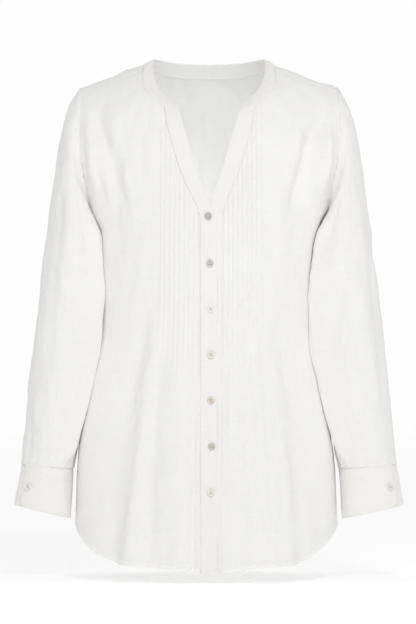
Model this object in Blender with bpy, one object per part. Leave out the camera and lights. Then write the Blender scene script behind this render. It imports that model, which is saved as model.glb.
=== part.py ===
"""A woman's long-sleeved blouse with a narrow neck band, a V neck and a pin-tucked bib, filled out as when it is worn.

Metres, +Z up, the front faces -Y and the wearer's left arm is at +X. The origin is the middle of the neck base, level
with the high points of the shoulders, where the wearer's shoulders carry the blouse.
Each cloth piece is a grid of points in rows and columns, given its thickness as a closed wall.
"""

import math
from collections import namedtuple

import bpy
import numpy as np

WALL = 0.0012  # one ply of the body cloth, sized up from real voile to a wall that is a solid
BAND_WALL = 0.0016  # the neck band and cuffs, two plies
SEAM = 0.0005  # open gap between two pieces that are sewn edge to edge
LAP = 0.0003  # gap between two plies that lie on each other

CLOTH = ("cloth", (0.90, 0.895, 0.88), 0.85)
BAND_CLOTH = ("cloth_double", (0.93, 0.925, 0.905), 0.82)
SHELL = ("shell", (0.72, 0.69, 0.62), 0.28)

# The body of the blouse, as sections at heights down from the shoulders
Section = namedtuple("Section", "height half_width front back")
BODY = (
    Section(0.020, 0.222, 0.084, 0.086),
    Section(0.000, 0.222, 0.086, 0.088),
    Section(-0.050, 0.222, 0.095, 0.097),
    Section(-0.100, 0.220, 0.103, 0.104),
    Section(-0.135, 0.214, 0.110, 0.107),
    Section(-0.170, 0.203, 0.118, 0.108),
    Section(-0.200, 0.188, 0.124, 0.107),
    Section(-0.220, 0.176, 0.127, 0.105),
    Section(-0.236, 0.166, 0.128, 0.104),
    Section(-0.252, 0.1595, 0.128, 0.102),
    Section(-0.275, 0.1570, 0.127, 0.100),
    Section(-0.310, 0.1570, 0.123, 0.097),
    Section(-0.350, 0.1592, 0.119, 0.095),
    Section(-0.400, 0.1620, 0.117, 0.096),
    Section(-0.440, 0.1675, 0.118, 0.100),
    Section(-0.480, 0.1755, 0.121, 0.105),
    Section(-0.520, 0.1820, 0.125, 0.111),
    Section(-0.560, 0.1880, 0.129, 0.117),
    Section(-0.620, 0.1940, 0.134, 0.124),
    Section(-0.680, 0.1965, 0.138, 0.130),
    Section(-0.780, 0.1985, 0.142, 0.136),
)
SQUARENESS = 2.4  # of the section's outline: 2 is an ellipse
SHOULDER_SLOPE = 0.345
NECK_HALF = 0.100  # where the shoulder line meets the neck
ARCH = 1.75  # roundness of the shoulder's top
ARCH_FRONT = 0.130  # height over which the shoulder rounds into the chest
ARCH_BACK = 0.110
ARCH_NAPE = 0.045  # the same at the middle of the back

# The hem, by its height at the middle and at the side seam
HEM_FRONT = -0.7528
HEM_BACK = -0.7600
HEM_SIDE = -0.6850
HEM_DIP = 0.0085  # how far the hem drops again at the very middle

# The lower half of the blouse hangs a little towards the wearer's right
Lean = namedtuple("Lean", "height shift")
LEANS = (
    Lean(-0.780, -0.0035),
    Lean(-0.600, -0.0045),
    Lean(-0.500, -0.0055),
    Lean(-0.300, -0.0030),
    Lean(-0.240, 0.0),
    Lean(0.020, 0.0),
)

# The armhole and sleeve: the outer and inner line seen from the front, and the half depth
Ring = namedtuple("Ring", "outer_x outer_z inner_x inner_z half_depth y")
SLEEVE = (
    Ring(0.1935, -0.0330, 0.1660, -0.2360, 0.0580, 0.000),
    Ring(0.2078, -0.0570, 0.1672, -0.2390, 0.0630, 0.000),
    Ring(0.2165, -0.0810, 0.1672, -0.2435, 0.0665, -0.001),
    Ring(0.2235, -0.1185, 0.1650, -0.2510, 0.0690, -0.004),
    Ring(0.2310, -0.1635, 0.1610, -0.2620, 0.0695, -0.010),
    Ring(0.2370, -0.2085, 0.1580, -0.2800, 0.0680, -0.016),
    Ring(0.2423, -0.2535, 0.1570, -0.3050, 0.0660, -0.022),
    Ring(0.2505, -0.3210, 0.1592, -0.3520, 0.0620, -0.028),
    Ring(0.2610, -0.4110, 0.1665, -0.4300, 0.0565, -0.032),
    Ring(0.2705, -0.5010, 0.1838, -0.5180, 0.0510, -0.034),
    Ring(0.2772, -0.5700, 0.1925, -0.5800, 0.0440, -0.034),
    Ring(0.2790, -0.5955, 0.1978, -0.6010, 0.0380, -0.034),
)
CAP_BULGE = 0.0125  # how far the armhole seam stands out at mid height
ARM_MITRE = 0.67  # how far the shared direction at the armhole leans away from the body
CUFF_TOP = Ring(0.2790, -0.5955, 0.1978, -0.6010, 0.0380, -0.034)
CUFF_END = Ring(0.2905, -0.6560, 0.2020, -0.6765, 0.0315, -0.036)
CUFF_LAP = 0.022  # the overlap where the cuff buttons
CUFF_CORNER = 0.013
CUFF_GIRTH = 0.238
CUFF_STEPS = 18
CUFF_ROWS = 3
CUFF_EDGE = 0.62  # where the lapped edge lies, in radians round from the outer line towards the front

# The front edges: the V and the buttoned front, as paths seen from the front
Strip = namedtuple("Strip", "inner_x inner_z outer_x outer_z")
UPPER_STRIP = (
    Strip(-0.0426, -0.0753, -0.0670, -0.0637),
    Strip(-0.0356, -0.0994, -0.0620, -0.0925),
    Strip(-0.0290, -0.1233, -0.0546, -0.1213),
    Strip(-0.0162, -0.1640, -0.0407, -0.1659),
    Strip(-0.0078, -0.1867, -0.0304, -0.1887),
    Strip(0.0000, -0.2058, -0.0196, -0.2102),
    Strip(0.0069, -0.2192, -0.0142, -0.2270),
    Strip(0.0113, -0.2339, -0.0132, -0.2427),
    Strip(0.0122, -0.2525, -0.0132, -0.2584),
    Strip(0.0122, -0.3014, -0.0132, -0.3014),
)
UNDER_STRIP = (
    Strip(0.0433, -0.0748, 0.0680, -0.0630),
    Strip(0.0366, -0.0994, 0.0635, -0.0925),
    Strip(0.0300, -0.1233, 0.0560, -0.1213),
    Strip(0.0172, -0.1640, 0.0422, -0.1659),
    Strip(0.0090, -0.1867, 0.0323, -0.1887),
    Strip(0.0015, -0.2058, 0.0250, -0.2083),
    Strip(-0.0034, -0.2182, 0.0206, -0.2231),
    Strip(-0.0059, -0.2329, 0.0196, -0.2368),
    Strip(-0.0059, -0.2525, 0.0196, -0.2545),
    Strip(-0.0059, -0.3014, 0.0196, -0.3014),
)
STRIP_STEP = 0.016  # longest step along a strip
STRIP_COLUMNS = 2

# The neck band: its seam and its free edge, back to front
NeckPoint = namedtuple("NeckPoint", "x y z")
SEAM_BACK = (
    NeckPoint(0.0000, 0.0760, -0.0150),
    NeckPoint(0.0300, 0.0725, -0.0145),
    NeckPoint(0.0580, 0.0600, -0.0118),
    NeckPoint(0.0790, 0.0385, -0.0065),
    NeckPoint(0.0925, 0.0150, -0.0012),
)
NECK_CREST = 0.0985
ViewPoint = namedtuple("ViewPoint", "x z")
SEAM_FRONT = (
    ViewPoint(0.0998, -0.0078),
    ViewPoint(0.0994, -0.0238),
    ViewPoint(0.0947, -0.0387),
    ViewPoint(0.0861, -0.0500),
    ViewPoint(0.0770, -0.0571),
)
EDGE_ALL = (
    NeckPoint(0.0000, 0.0665, 0.0055),
    NeckPoint(0.0290, 0.0620, 0.0061),
    NeckPoint(0.0540, 0.0490, 0.0076),
    NeckPoint(0.0725, 0.0270, 0.0100),
    NeckPoint(0.0812, 0.0050, 0.0104),
    NeckPoint(0.0835, -0.0130, -0.0010),
    NeckPoint(0.0822, -0.0300, -0.0148),
    NeckPoint(0.0772, -0.0440, -0.0295),
    NeckPoint(0.0688, -0.0555, -0.0420),
    NeckPoint(0.0577, -0.0630, -0.0509),
    NeckPoint(0.0450, -0.0680, -0.0590),
)

# Pin tucks, the same number each side, and where each one is released into fullness
TUCKS = 9
TUCK_PITCH = 0.0069
TUCK_STEP = 0.0009  # plan width of the tuck's steep side
TUCK_RISE = 0.0013
FIRST_TUCK = {-1: 0.0162, 1: 0.0236}
TUCK_END_INNER = -0.398
TUCK_END_OUTER = -0.325
TUCK_SPREAD = 1.55  # how much wider the tucked band is at the hem

# The largest soft folds of the fronts, as lines seen from the front
Fold = namedtuple("Fold", "top_x top_z low_x low_z bow half_width depth")
HEM_LINE = -0.780
FOLDS = {
    -1: (
        Fold(0.078, -0.320, 0.146, HEM_LINE, 0.012, 0.016, -0.0075),
        Fold(0.053, -0.350, 0.091, HEM_LINE, 0.009, 0.013, -0.0060),
        Fold(0.022, -0.480, 0.024, HEM_LINE, 0.000, 0.009, -0.0040),
        Fold(0.066, -0.330, 0.118, HEM_LINE, 0.012, 0.014, 0.0045),
        Fold(0.040, -0.400, 0.047, HEM_LINE, 0.000, 0.016, 0.0040),
        Fold(0.165, -0.060, 0.118, -0.255, -0.006, 0.013, -0.0075),
        Fold(0.186, -0.060, 0.166, -0.190, 0.000, 0.009, 0.0040),
    ),
    1: (
        Fold(0.083, -0.325, 0.153, HEM_LINE, 0.020, 0.017, -0.0070),
        Fold(0.080, -0.400, 0.100, HEM_LINE, 0.003, 0.0065, -0.0045),
        Fold(0.050, -0.430, 0.078, HEM_LINE, 0.000, 0.014, -0.0040),
        Fold(0.090, -0.360, 0.121, HEM_LINE, 0.006, 0.013, 0.0050),
        Fold(0.034, -0.430, 0.044, HEM_LINE, 0.000, 0.014, 0.0030),
        Fold(0.170, -0.060, 0.122, -0.255, -0.004, 0.012, -0.0080),
        Fold(0.187, -0.080, 0.162, -0.200, 0.000, 0.009, 0.0040),
    ),
}
BACK_FOLDS = (
    Fold(-0.062, -0.090, -0.105, HEM_LINE, 0.000, 0.017, -0.0065),
    Fold(-0.028, -0.060, -0.040, HEM_LINE, 0.000, 0.015, 0.0060),
    Fold(0.006, -0.070, 0.004, HEM_LINE, 0.000, 0.016, -0.0060),
    Fold(0.040, -0.060, 0.052, HEM_LINE, 0.000, 0.016, 0.0060),
    Fold(0.074, -0.110, 0.112, HEM_LINE, 0.000, 0.018, -0.0070),
    Fold(-0.085, -0.300, -0.140, HEM_LINE, 0.000, 0.015, 0.0050),
    Fold(0.104, -0.330, 0.148, HEM_LINE, 0.000, 0.013, 0.0045),
    Fold(-0.150, -0.080, -0.120, -0.300, 0.000, 0.014, -0.0050),
    Fold(0.152, -0.090, 0.116, -0.310, 0.000, 0.013, -0.0050),
)
# Sleeve folds: along is 0 at the armhole and 1 at the cuff, round is in radians from the outer line to the front
SleeveFold = namedtuple("SleeveFold", "along_a round_a along_b round_b half_width depth")
SLEEVE_FOLDS = {
    -1: (
        SleeveFold(0.24, 1.30, 0.66, 2.55, 0.011, -0.0050),
        SleeveFold(0.30, 0.85, 0.86, 1.20, 0.011, -0.0040),
        SleeveFold(0.50, 2.60, 0.74, 1.50, 0.010, -0.0040),
        SleeveFold(0.66, -1.00, 0.95, -1.60, 0.012, -0.0045),
        SleeveFold(0.22, -1.00, 0.62, -2.30, 0.013, -0.0050),
        SleeveFold(0.80, 0.60, 0.99, 0.75, 0.007, -0.0030),
    ),
    1: (
        SleeveFold(0.26, 1.45, 0.60, 2.70, 0.011, -0.0045),
        SleeveFold(0.46, 0.90, 0.78, 2.35, 0.012, -0.0060),
        SleeveFold(0.52, 0.50, 0.92, 0.72, 0.010, -0.0040),
        SleeveFold(0.62, -1.10, 0.93, -1.50, 0.012, -0.0045),
        SleeveFold(0.24, -0.90, 0.66, -2.20, 0.013, -0.0050),
        SleeveFold(0.82, 1.40, 0.99, 1.45, 0.007, -0.0030),
    ),
}

# Buttons, two-ply shell discs with a rim and four holes
BUTTONS = (
    ViewPoint(-0.0012, -0.2285),
    ViewPoint(0.0012, -0.2975),
    ViewPoint(0.0026, -0.3641),
    ViewPoint(0.0028, -0.4317),
    ViewPoint(0.0028, -0.4992),
    ViewPoint(0.0040, -0.5663),
    ViewPoint(0.0028, -0.6343),
)
BUTTON_RADIUS = 0.0054
BUTTON_THICK = 0.0022
BUTTON_RIM = 0.0009
BUTTON_DISH = 0.0006
BUTTON_SIDES = 12
BUTTON_CLEAR = 0.0002
HOLE_RADIUS = 0.00075
HOLE_PITCH = 0.0012  # from the button's middle to each hole's, along x and z
HOLE_SIDES = 6
BAND_CROWN = 0.0010  # how far the neck band's middle stands out

# How finely the cloth is divided
FRONT_ARM_ROWS = 10
BACK_ARM_ROWS = 12
SIDE_ROWS = 13
NECK_COLUMNS = 4
SHOULDER_COLUMNS = 6
BACK_NECK_COLUMNS = 7
SLEEVE_RINGS = 18
SEAM_TURN = 0.40  # where the shoulder seam meets the armhole, in radians forward of its top


def through(knots, values):
    """A smooth curve through the values, at rising knots, that never overshoots them; it takes an array of knots."""
    x = np.asarray(knots, float)
    y = np.asarray(values, float).reshape(len(x), -1)
    step = np.diff(x)[:, None]
    rise = np.diff(y, axis=0) / step
    slope = np.zeros_like(y)
    same = rise[:-1] * rise[1:] > 0
    total = np.where(same, rise[:-1] + rise[1:], 1.0)
    slope[1:-1] = np.where(same, 2 * rise[:-1] * rise[1:] / total, 0.0)
    slope[0] = rise[0]
    slope[-1] = rise[-1]

    def curve(at):
        at = np.asarray(at, float)
        flat = np.clip(at.ravel(), x[0], x[-1])
        i = np.clip(np.searchsorted(x, flat, side="right") - 1, 0, len(x) - 2)
        width = (x[i + 1] - x[i])[:, None]
        t = ((flat - x[i])[:, None]) / width
        value = (
            (2 * t**3 - 3 * t**2 + 1) * y[i]
            + (t**3 - 2 * t**2 + t) * width * slope[i]
            + (3 * t**2 - 2 * t**3) * y[i + 1]
            + (t**3 - t**2) * width * slope[i + 1]
        )
        return value.reshape(*at.shape, -1) if y.shape[1] > 1 else value.reshape(at.shape)

    return curve


def by_length(points):
    """A smooth curve through points in space, by share of its length from 0 to 1."""
    points = np.asarray(points, float)
    length = np.concatenate([[0], np.cumsum(np.linalg.norm(np.diff(points, axis=0), axis=1))])
    return through(length / length[-1], points)


def ease(t):
    """0 to 1 with level ends."""
    t = np.clip(t, 0, 1)
    return t * t * (3 - 2 * t)


def unit(v):
    return v / np.maximum(np.linalg.norm(v, axis=-1, keepdims=True), 1e-12)


rising = BODY[::-1]
half_width = through([s.height for s in rising], [s.half_width for s in rising])
front_depth = through([s.height for s in rising], [s.front for s in rising])
back_depth = through([s.height for s in rising], [s.back for s in rising])
lean = through([r.height for r in LEANS], [r.shift for r in LEANS])


def ridge(x):
    """Height of the shoulder line over x."""
    over = np.abs(x) - NECK_HALF
    return np.where(over > 0, -SHOULDER_SLOPE * over, 0.02 * (1 - np.exp(over / 0.03)))


def arch(below, height):
    """How much of its depth the body has reached at this distance below the shoulder line."""
    left = np.clip(1 - below / height, 0, 1)
    return (1 - left**ARCH) ** (1 / ARCH)


def turn_of(x, z):
    """The body's own angle, 0 at the middle and 1 at the side seam, of a point seen at x and z."""
    share = np.clip(np.abs(x) / half_width(z), 0, 1)
    return 2 / math.pi * np.arcsin(share ** (SQUARENESS / 2))


def body_point(turn, z, behind=False):
    """A point of the plain body: x is never negative."""
    angle = np.clip(turn, 0, 1) * math.pi / 2
    x = half_width(z) * np.sin(angle) ** (2 / SQUARENESS)
    reach = np.clip(np.cos(angle), 0, 1) ** (2 / SQUARENESS)
    below = ridge(x) - z
    if behind:
        height = ARCH_NAPE + (ARCH_BACK - ARCH_NAPE) * ease(x / NECK_HALF)
        y = back_depth(z) * reach * arch(below, height)
    else:
        y = -front_depth(z) * reach * arch(below, ARCH_FRONT)
    return np.stack(np.broadcast_arrays(x, y, z), axis=-1)


def front_at(x, z):
    """A point of the plain front seen at x and z, on either side."""
    x, z = np.broadcast_arrays(np.asarray(x, float), np.asarray(z, float))
    point = body_point(turn_of(x, z), z)
    point[..., 0] = x
    return point


def hem_height(turn, middle):
    """Height of the hem at a turn from the middle to the side seam."""
    dip = HEM_DIP * ease(turn / 0.26)
    return middle + dip + (HEM_SIDE - middle - HEM_DIP) * ease((turn - 0.18) / 0.82) ** 1.35


ring_knots = np.linspace(0, 1, len(SLEEVE))
sleeve_ring = through(ring_knots, [tuple(r) for r in SLEEVE])


def ring_points(ring, turns, bulge):
    """Points round one ring of the sleeve, turns in radians from the outer line towards the front."""
    outer_x, outer_z, inner_x, inner_z, depth, y = ring
    middle = np.array([(outer_x + inner_x) / 2, y, (outer_z + inner_z) / 2])
    half = np.array([(outer_x - inner_x) / 2, 0, (outer_z - inner_z) / 2])
    forward = np.array([0, -depth, 0])
    points = middle + np.cos(turns)[:, None] * half + np.sin(turns)[:, None] * forward
    points[:, 0] += bulge * np.sin(turns) ** 2
    return points


def ring_normals(ring, turns):
    """Directions straight out of a ring in its own plane."""
    outer_x, outer_z, inner_x, inner_z, depth, _ = ring
    half = np.array([(outer_x - inner_x) / 2, 0, (outer_z - inner_z) / 2])
    forward = np.array([0, -depth, 0])
    size = np.linalg.norm(half)
    return unit(np.cos(turns)[:, None] * half / size**2 + np.sin(turns)[:, None] * forward / depth**2)


def arm_turns_front():
    return np.linspace(SEAM_TURN, math.pi, FRONT_ARM_ROWS + 1)


def arm_turns_back():
    """From the shoulder seam over the top and down the back to the underarm."""
    return np.linspace(SEAM_TURN, -math.pi, BACK_ARM_ROWS + 1)


def fold_depths(folds, x, z):
    """How far the folds move the cloth in or out, at points seen at x and z."""
    moved = np.zeros(np.broadcast(x, z).shape)
    for fold in folds:
        share = (fold.top_z - z) / (fold.top_z - fold.low_z)
        line = fold.top_x + (fold.low_x - fold.top_x) * share + 4 * fold.bow * share * (1 - share)
        strength = ease(share / 0.28)
        if fold.low_z > HEM_LINE:
            strength = strength * ease((1 - share) / 0.3)
        moved += fold.depth * strength * np.exp(-(((x - line) / fold.half_width) ** 2))
    return moved


def grid_normals(points, outward):
    """Unit normals of a grid of points, on the side of the direction outward."""
    normals = unit(np.cross(np.gradient(points, axis=0), np.gradient(points, axis=1)))
    return normals if (normals * outward).sum() > 0 else -normals


def away_from_middle(points):
    """Rough outward direction of a piece of the body, from an upright line through its middle."""
    return points * np.array([1.0, 1.0, 0.15])


def trim(points, edge, amount):
    """Draws one edge of a grid in by an amount, for the gap at a seam."""
    rim, near = {
        "top": ((0, slice(None)), (1, slice(None))),
        "low": ((-1, slice(None)), (-2, slice(None))),
        "first": ((slice(None), 0), (slice(None), 1)),
        "last": ((slice(None), -1), (slice(None), -2)),
    }[edge]
    points[rim] += unit(points[near] - points[rim]) * amount


def material(kind):
    name, colour, roughness = kind
    made = bpy.data.materials.get(name)
    if made is None:
        made = bpy.data.materials.new(name)
        made.use_nodes = True
        shader = made.node_tree.nodes["Principled BSDF"]
        shader.inputs["Base Color"].default_value = (*colour, 1)
        shader.inputs["Roughness"].default_value = roughness
        shader.inputs["Metallic"].default_value = 0.0
    return made


def leaned(points):
    """Moves points to the side with the lower half of the blouse: not at the middle, nor outside the sleeves."""
    points = np.array(points, float)
    away = np.abs(points[:, 0])
    part = np.minimum(away / 0.155, 1.0) ** 2 * (1 - ease((away - 0.19) / 0.08))
    points[:, 0] += lean(points[:, 2]) * part
    return points


def add_object(name, points, faces, kind):
    """One closed solid as an object, its faces turned out."""
    points = leaned(points)
    volume = 0.0
    for face in faces:
        for a, b in zip(face[1:-1], face[2:]):
            volume += np.dot(points[face[0]], np.cross(points[a], points[b]))
    if volume < 0:
        faces = [face[::-1] for face in faces]
    mesh = bpy.data.meshes.new(name)
    mesh.from_pydata([tuple(p) for p in points], [], [tuple(int(i) for i in f) for f in faces])
    mesh.validate()
    mesh.shade_smooth()
    mesh.set_sharp_from_angle(angle=math.radians(50))
    mesh.materials.append(material(kind))
    made = bpy.data.objects.new(name, mesh)
    bpy.context.scene.collection.objects.link(made)
    return made


def halves(points, a, b, c, d):
    """The two triangles of a quad, split along its shorter diagonal."""
    if np.linalg.norm(points[a] - points[c]) < np.linalg.norm(points[b] - points[d]):
        return (a, b, c), (a, c, d)
    return (a, b, d), (b, c, d)


def wall_object(name, outer, inner, kind, closed=False):
    """A closed wall between two grids of the same size; a closed wall's columns run round a tube."""
    rows, columns = outer.shape[:2]
    number = np.arange(rows * columns).reshape(rows, columns)
    shift = rows * columns
    points = np.concatenate([outer.reshape(-1, 3), inner.reshape(-1, 3)])
    faces = []
    across = columns if closed else columns - 1
    for i in range(rows - 1):
        for j in range(across):
            k = (j + 1) % columns
            for half in halves(points, number[i, j], number[i, k], number[i + 1, k], number[i + 1, j]):
                faces.append(half)
                faces.append([n + shift for n in half[::-1]])
    rims = []
    for j in range(across):
        k = (j + 1) % columns
        rims.append((number[0, k], number[0, j]))
        rims.append((number[-1, j], number[-1, k]))
    if not closed:
        for i in range(rows - 1):
            rims.append((number[i, 0], number[i + 1, 0]))
            rims.append((number[i + 1, -1], number[i, -1]))
    for a, b in rims:
        faces.extend(halves(points, a, b, b + shift, a + shift))
    return add_object(name, points, faces, kind)


def outer_edge_z(strip, x):
    """Height of a front strip's outer edge over |x|, up the V."""
    upward = sorted({(abs(r.outer_x), r.outer_z) for r in strip if r.outer_z > -0.235})
    xs = [p[0] for p in upward]
    rising_xs = [xs[0] + 1e-5 * i if i and xs[i] <= xs[i - 1] else xs[i] for i in range(len(xs))]
    return through(rising_xs, [p[1] for p in upward])(x)


def own_normals(x, z, behind=False):
    """Outward directions of the plain body at points seen at x and z."""
    step = 0.001
    here = body_point(turn_of(x, z), z, behind)
    right = body_point(turn_of(x + step, z), z, behind) - here
    above = body_point(turn_of(x, z - step), z - step, behind) - here
    normals = unit(np.cross(above, right))
    return -normals if behind else normals


def shoulder_seam():
    """Points of the forward shoulder seam, from the neck band to the armhole."""
    neck = SEAM_FRONT[0]
    tip = ring_points(SLEEVE[0], np.array([SEAM_TURN]), CAP_BULGE)[0]
    share = np.linspace(0, 1, SHOULDER_COLUMNS + 1)
    x = neck.x + (tip[0] - neck.x) * share
    below = (ridge(neck.x) - neck.z) * (1 - share) + (ridge(tip[0]) - tip[2]) * share
    points = front_at(x, ridge(x) - below)
    points[-1] = tip
    return points


def armhole_normals(turns, surface):
    """Directions out of the cloth at the armhole: shared over the shoulder, each piece's own under the arm."""
    shared = ring_normals(SLEEVE[0], turns) + np.array([ARM_MITRE, 0, 0])
    part = (1 + np.cos(turns))[:, None] / 2
    return unit(unit(shared) * part + surface * (1 - part))


def front_columns(side):
    """Where the columns of a front start, how high each stands as part of a tuck, and where that tuck ends."""
    strip = UPPER_STRIP if side < 0 else UNDER_STRIP
    corner = abs(strip[0].outer_x)
    columns = [(abs(strip[-1].outer_x), 0.0, TUCK_END_INNER), (corner, 0.0, TUCK_END_OUTER)]
    for i in range(TUCKS):
        x = FIRST_TUCK[side] + i * TUCK_PITCH
        end = TUCK_END_INNER + (TUCK_END_OUTER - TUCK_END_INNER) * i / (TUCKS - 1)
        columns += [(x - TUCK_STEP, TUCK_RISE, end), (x, 0.0, end)]
    return strip, corner, sorted(columns)


def front_top(side):
    """Points of a front's upper edge: up the V, round the neck, along the shoulder; and where the parts meet."""
    strip, corner, columns = front_columns(side)
    up_the_v = [(x, float(outer_edge_z(strip, x))) for x, _, _ in columns if x <= corner]
    neck = np.array([(corner, strip[0].outer_z), *[tuple(p) for p in SEAM_FRONT if p.x > corner + 0.003][::-1]])
    curve = by_length(neck)
    shares = np.linspace(0, 1, 500)
    path = curve(shares)
    at_tucks = [shares[int(np.argmax(path[:, 0] >= x))] for x, _, _ in columns if x > corner]
    last = at_tucks[-1] if at_tucks else 0.0
    on_neck = at_tucks + [last + (1 - last) * i / NECK_COLUMNS for i in range(1, NECK_COLUMNS + 1)]
    seen = np.array(up_the_v + [tuple(curve(s)) for s in on_neck])
    points = np.concatenate([front_at(seen[:, 0], seen[:, 1]), shoulder_seam()[1:]])
    return points, len(up_the_v) - 1, len(seen) - 1


def front_grid(side):
    """One front as a grid: columns from the buttoned edge to the side seam, rows from the neck to the hem."""
    strip, corner, columns = front_columns(side)
    top, _, neck_end = front_top(side)
    count = len(top)
    tucked = len(columns)
    edge_x = columns[0][0]

    # Rows: the armhole's own rows, then even rows down the side seam
    arm_turns = arm_turns_front()
    arm = ring_points(SLEEVE[0], arm_turns, CAP_BULGE)
    side_z = np.linspace(arm[-1, 2], HEM_SIDE, SIDE_ROWS + 1)[1:]
    last_z = np.concatenate([arm[:, 2], side_z])
    rows = len(last_z)
    share = np.linspace(0, 1, rows)[:, None]
    share = share * 0.75 + 0.25 * (last_z[0] - last_z[:, None]) / (last_z[0] - last_z[-1])
    first_z = top[0, 2] + (HEM_FRONT - top[0, 2]) * share[:, 0]
    spread = (top[:, 0] - top[0, 0]) / (top[-1, 0] - top[0, 0])
    ruled = first_z[:, None] * (1 - spread) + last_z[:, None] * spread
    lift = top[:, 2] - ruled[0]
    z = ruled + lift * (1 - ease(share / 0.75)) ** 1.2

    # Turns: tucks fall straight to their ends, the rest of the columns spread evenly to the side
    last_turn = np.concatenate([turn_of(arm[:, 0], arm[:, 2]), np.ones(SIDE_ROWS)])
    last_turn[FRONT_ARM_ROWS] = 1.0
    turns = np.zeros((rows, count))
    for j in range(tucked):
        x, _, end = columns[j]
        wide_x = edge_x + (x - edge_x) * TUCK_SPREAD
        go = ease((end - z[:, j]) / (end - HEM_FRONT))
        turns[:, j] = turn_of(x, z[:, j]) * (1 - go) + turn_of(wide_x, z[:, j]) * go
    stay = 1 - ease(share[:, 0] / 0.30)
    for j in range(tucked, count):
        part = (j - tucked + 1) / (count - tucked)
        even = turns[:, tucked - 1] + (last_turn - turns[:, tucked - 1]) * part
        turns[:, j] = even * (1 - stay) + turn_of(top[j, 0], z[:, j]) * stay
    turns[:, -1] = last_turn
    z = z + (hem_height(turns[-1], HEM_FRONT) - z[-1]) * ease((share - 0.45) / 0.55)

    plain = body_point(turns, z)
    plain += (top - plain[0])[None] * ((1 - ease(share / 0.30)) ** 1.5)[..., None]
    settle = np.linspace(0, 1, count) ** 5
    plain[: FRONT_ARM_ROWS + 1] += (arm - plain[: FRONT_ARM_ROWS + 1, -1])[:, None] * settle[None, :, None]

    # Folds and tucks stand out along the cloth's own direction, and fade at the seams
    normals = grid_normals(plain, away_from_middle(plain))
    quiet = ease((1 - turns) / 0.16) * ease((plain[..., 0] - edge_x) / 0.010)
    quiet = quiet * ease((count - 1 - np.arange(count)) / 3.0)[None, :]
    plain += normals * (fold_depths(FOLDS[side], plain[..., 0], z) * quiet)[..., None]
    normals = grid_normals(plain, away_from_middle(plain))
    normals[:, 0] = own_normals(plain[:, 0, 0], plain[:, 0, 2])
    normals[0, :neck_end] = own_normals(top[:neck_end, 0], top[:neck_end, 2])
    normals[0, neck_end:-1] = own_normals(top[neck_end:-1, 0], top[neck_end:-1, 2])
    normals[:, -1] *= np.array([1.0, 0.0, 1.0])
    normals[:, -1] = unit(normals[:, -1])
    arm_own = unit(normals[: FRONT_ARM_ROWS + 1, -2] * np.array([1.0, 1.0, 1.0]))
    normals[: FRONT_ARM_ROWS + 1, -1] = armhole_normals(arm_turns, arm_own)
    normals[FRONT_ARM_ROWS, -1] = (1.0, 0.0, 0.0)
    rise = np.zeros((rows, count))
    for j in range(tucked):
        rise[:, j] = columns[j][1] * ease((z[:, j] - columns[j][2]) / 0.025)
    rise[0] = 0.0
    return plain, normals, rise


def make_front(side, front, name):
    """One front, tucked, from the buttoned edge round to the side seam; side is -1 or 1."""
    grid, normals, rise = front
    trim(grid, "first", SEAM / 2)
    trim(grid, "last", SEAM / 2)
    trim(grid, "top", SEAM / 2)
    outer = grid + normals * rise[..., None]
    inner = grid - normals * WALL
    turned = np.array([side, 1.0, 1.0])
    wall_object(name, outer * turned, inner * turned, CLOTH)


def back_top():
    """Points of the back's upper edge on one side: the neck, over the shoulder, and the shoulder seam."""
    crest = (NECK_CREST, 0.0, float(ridge(NECK_CREST)))
    seam = shoulder_seam()
    neck_line = by_length([*[tuple(p) for p in SEAM_BACK], crest, seam[0]])
    neck = neck_line(np.linspace(0, 1, BACK_NECK_COLUMNS + 1))
    neck[-1] = seam[0]
    return np.concatenate([neck, seam[1:]])


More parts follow.
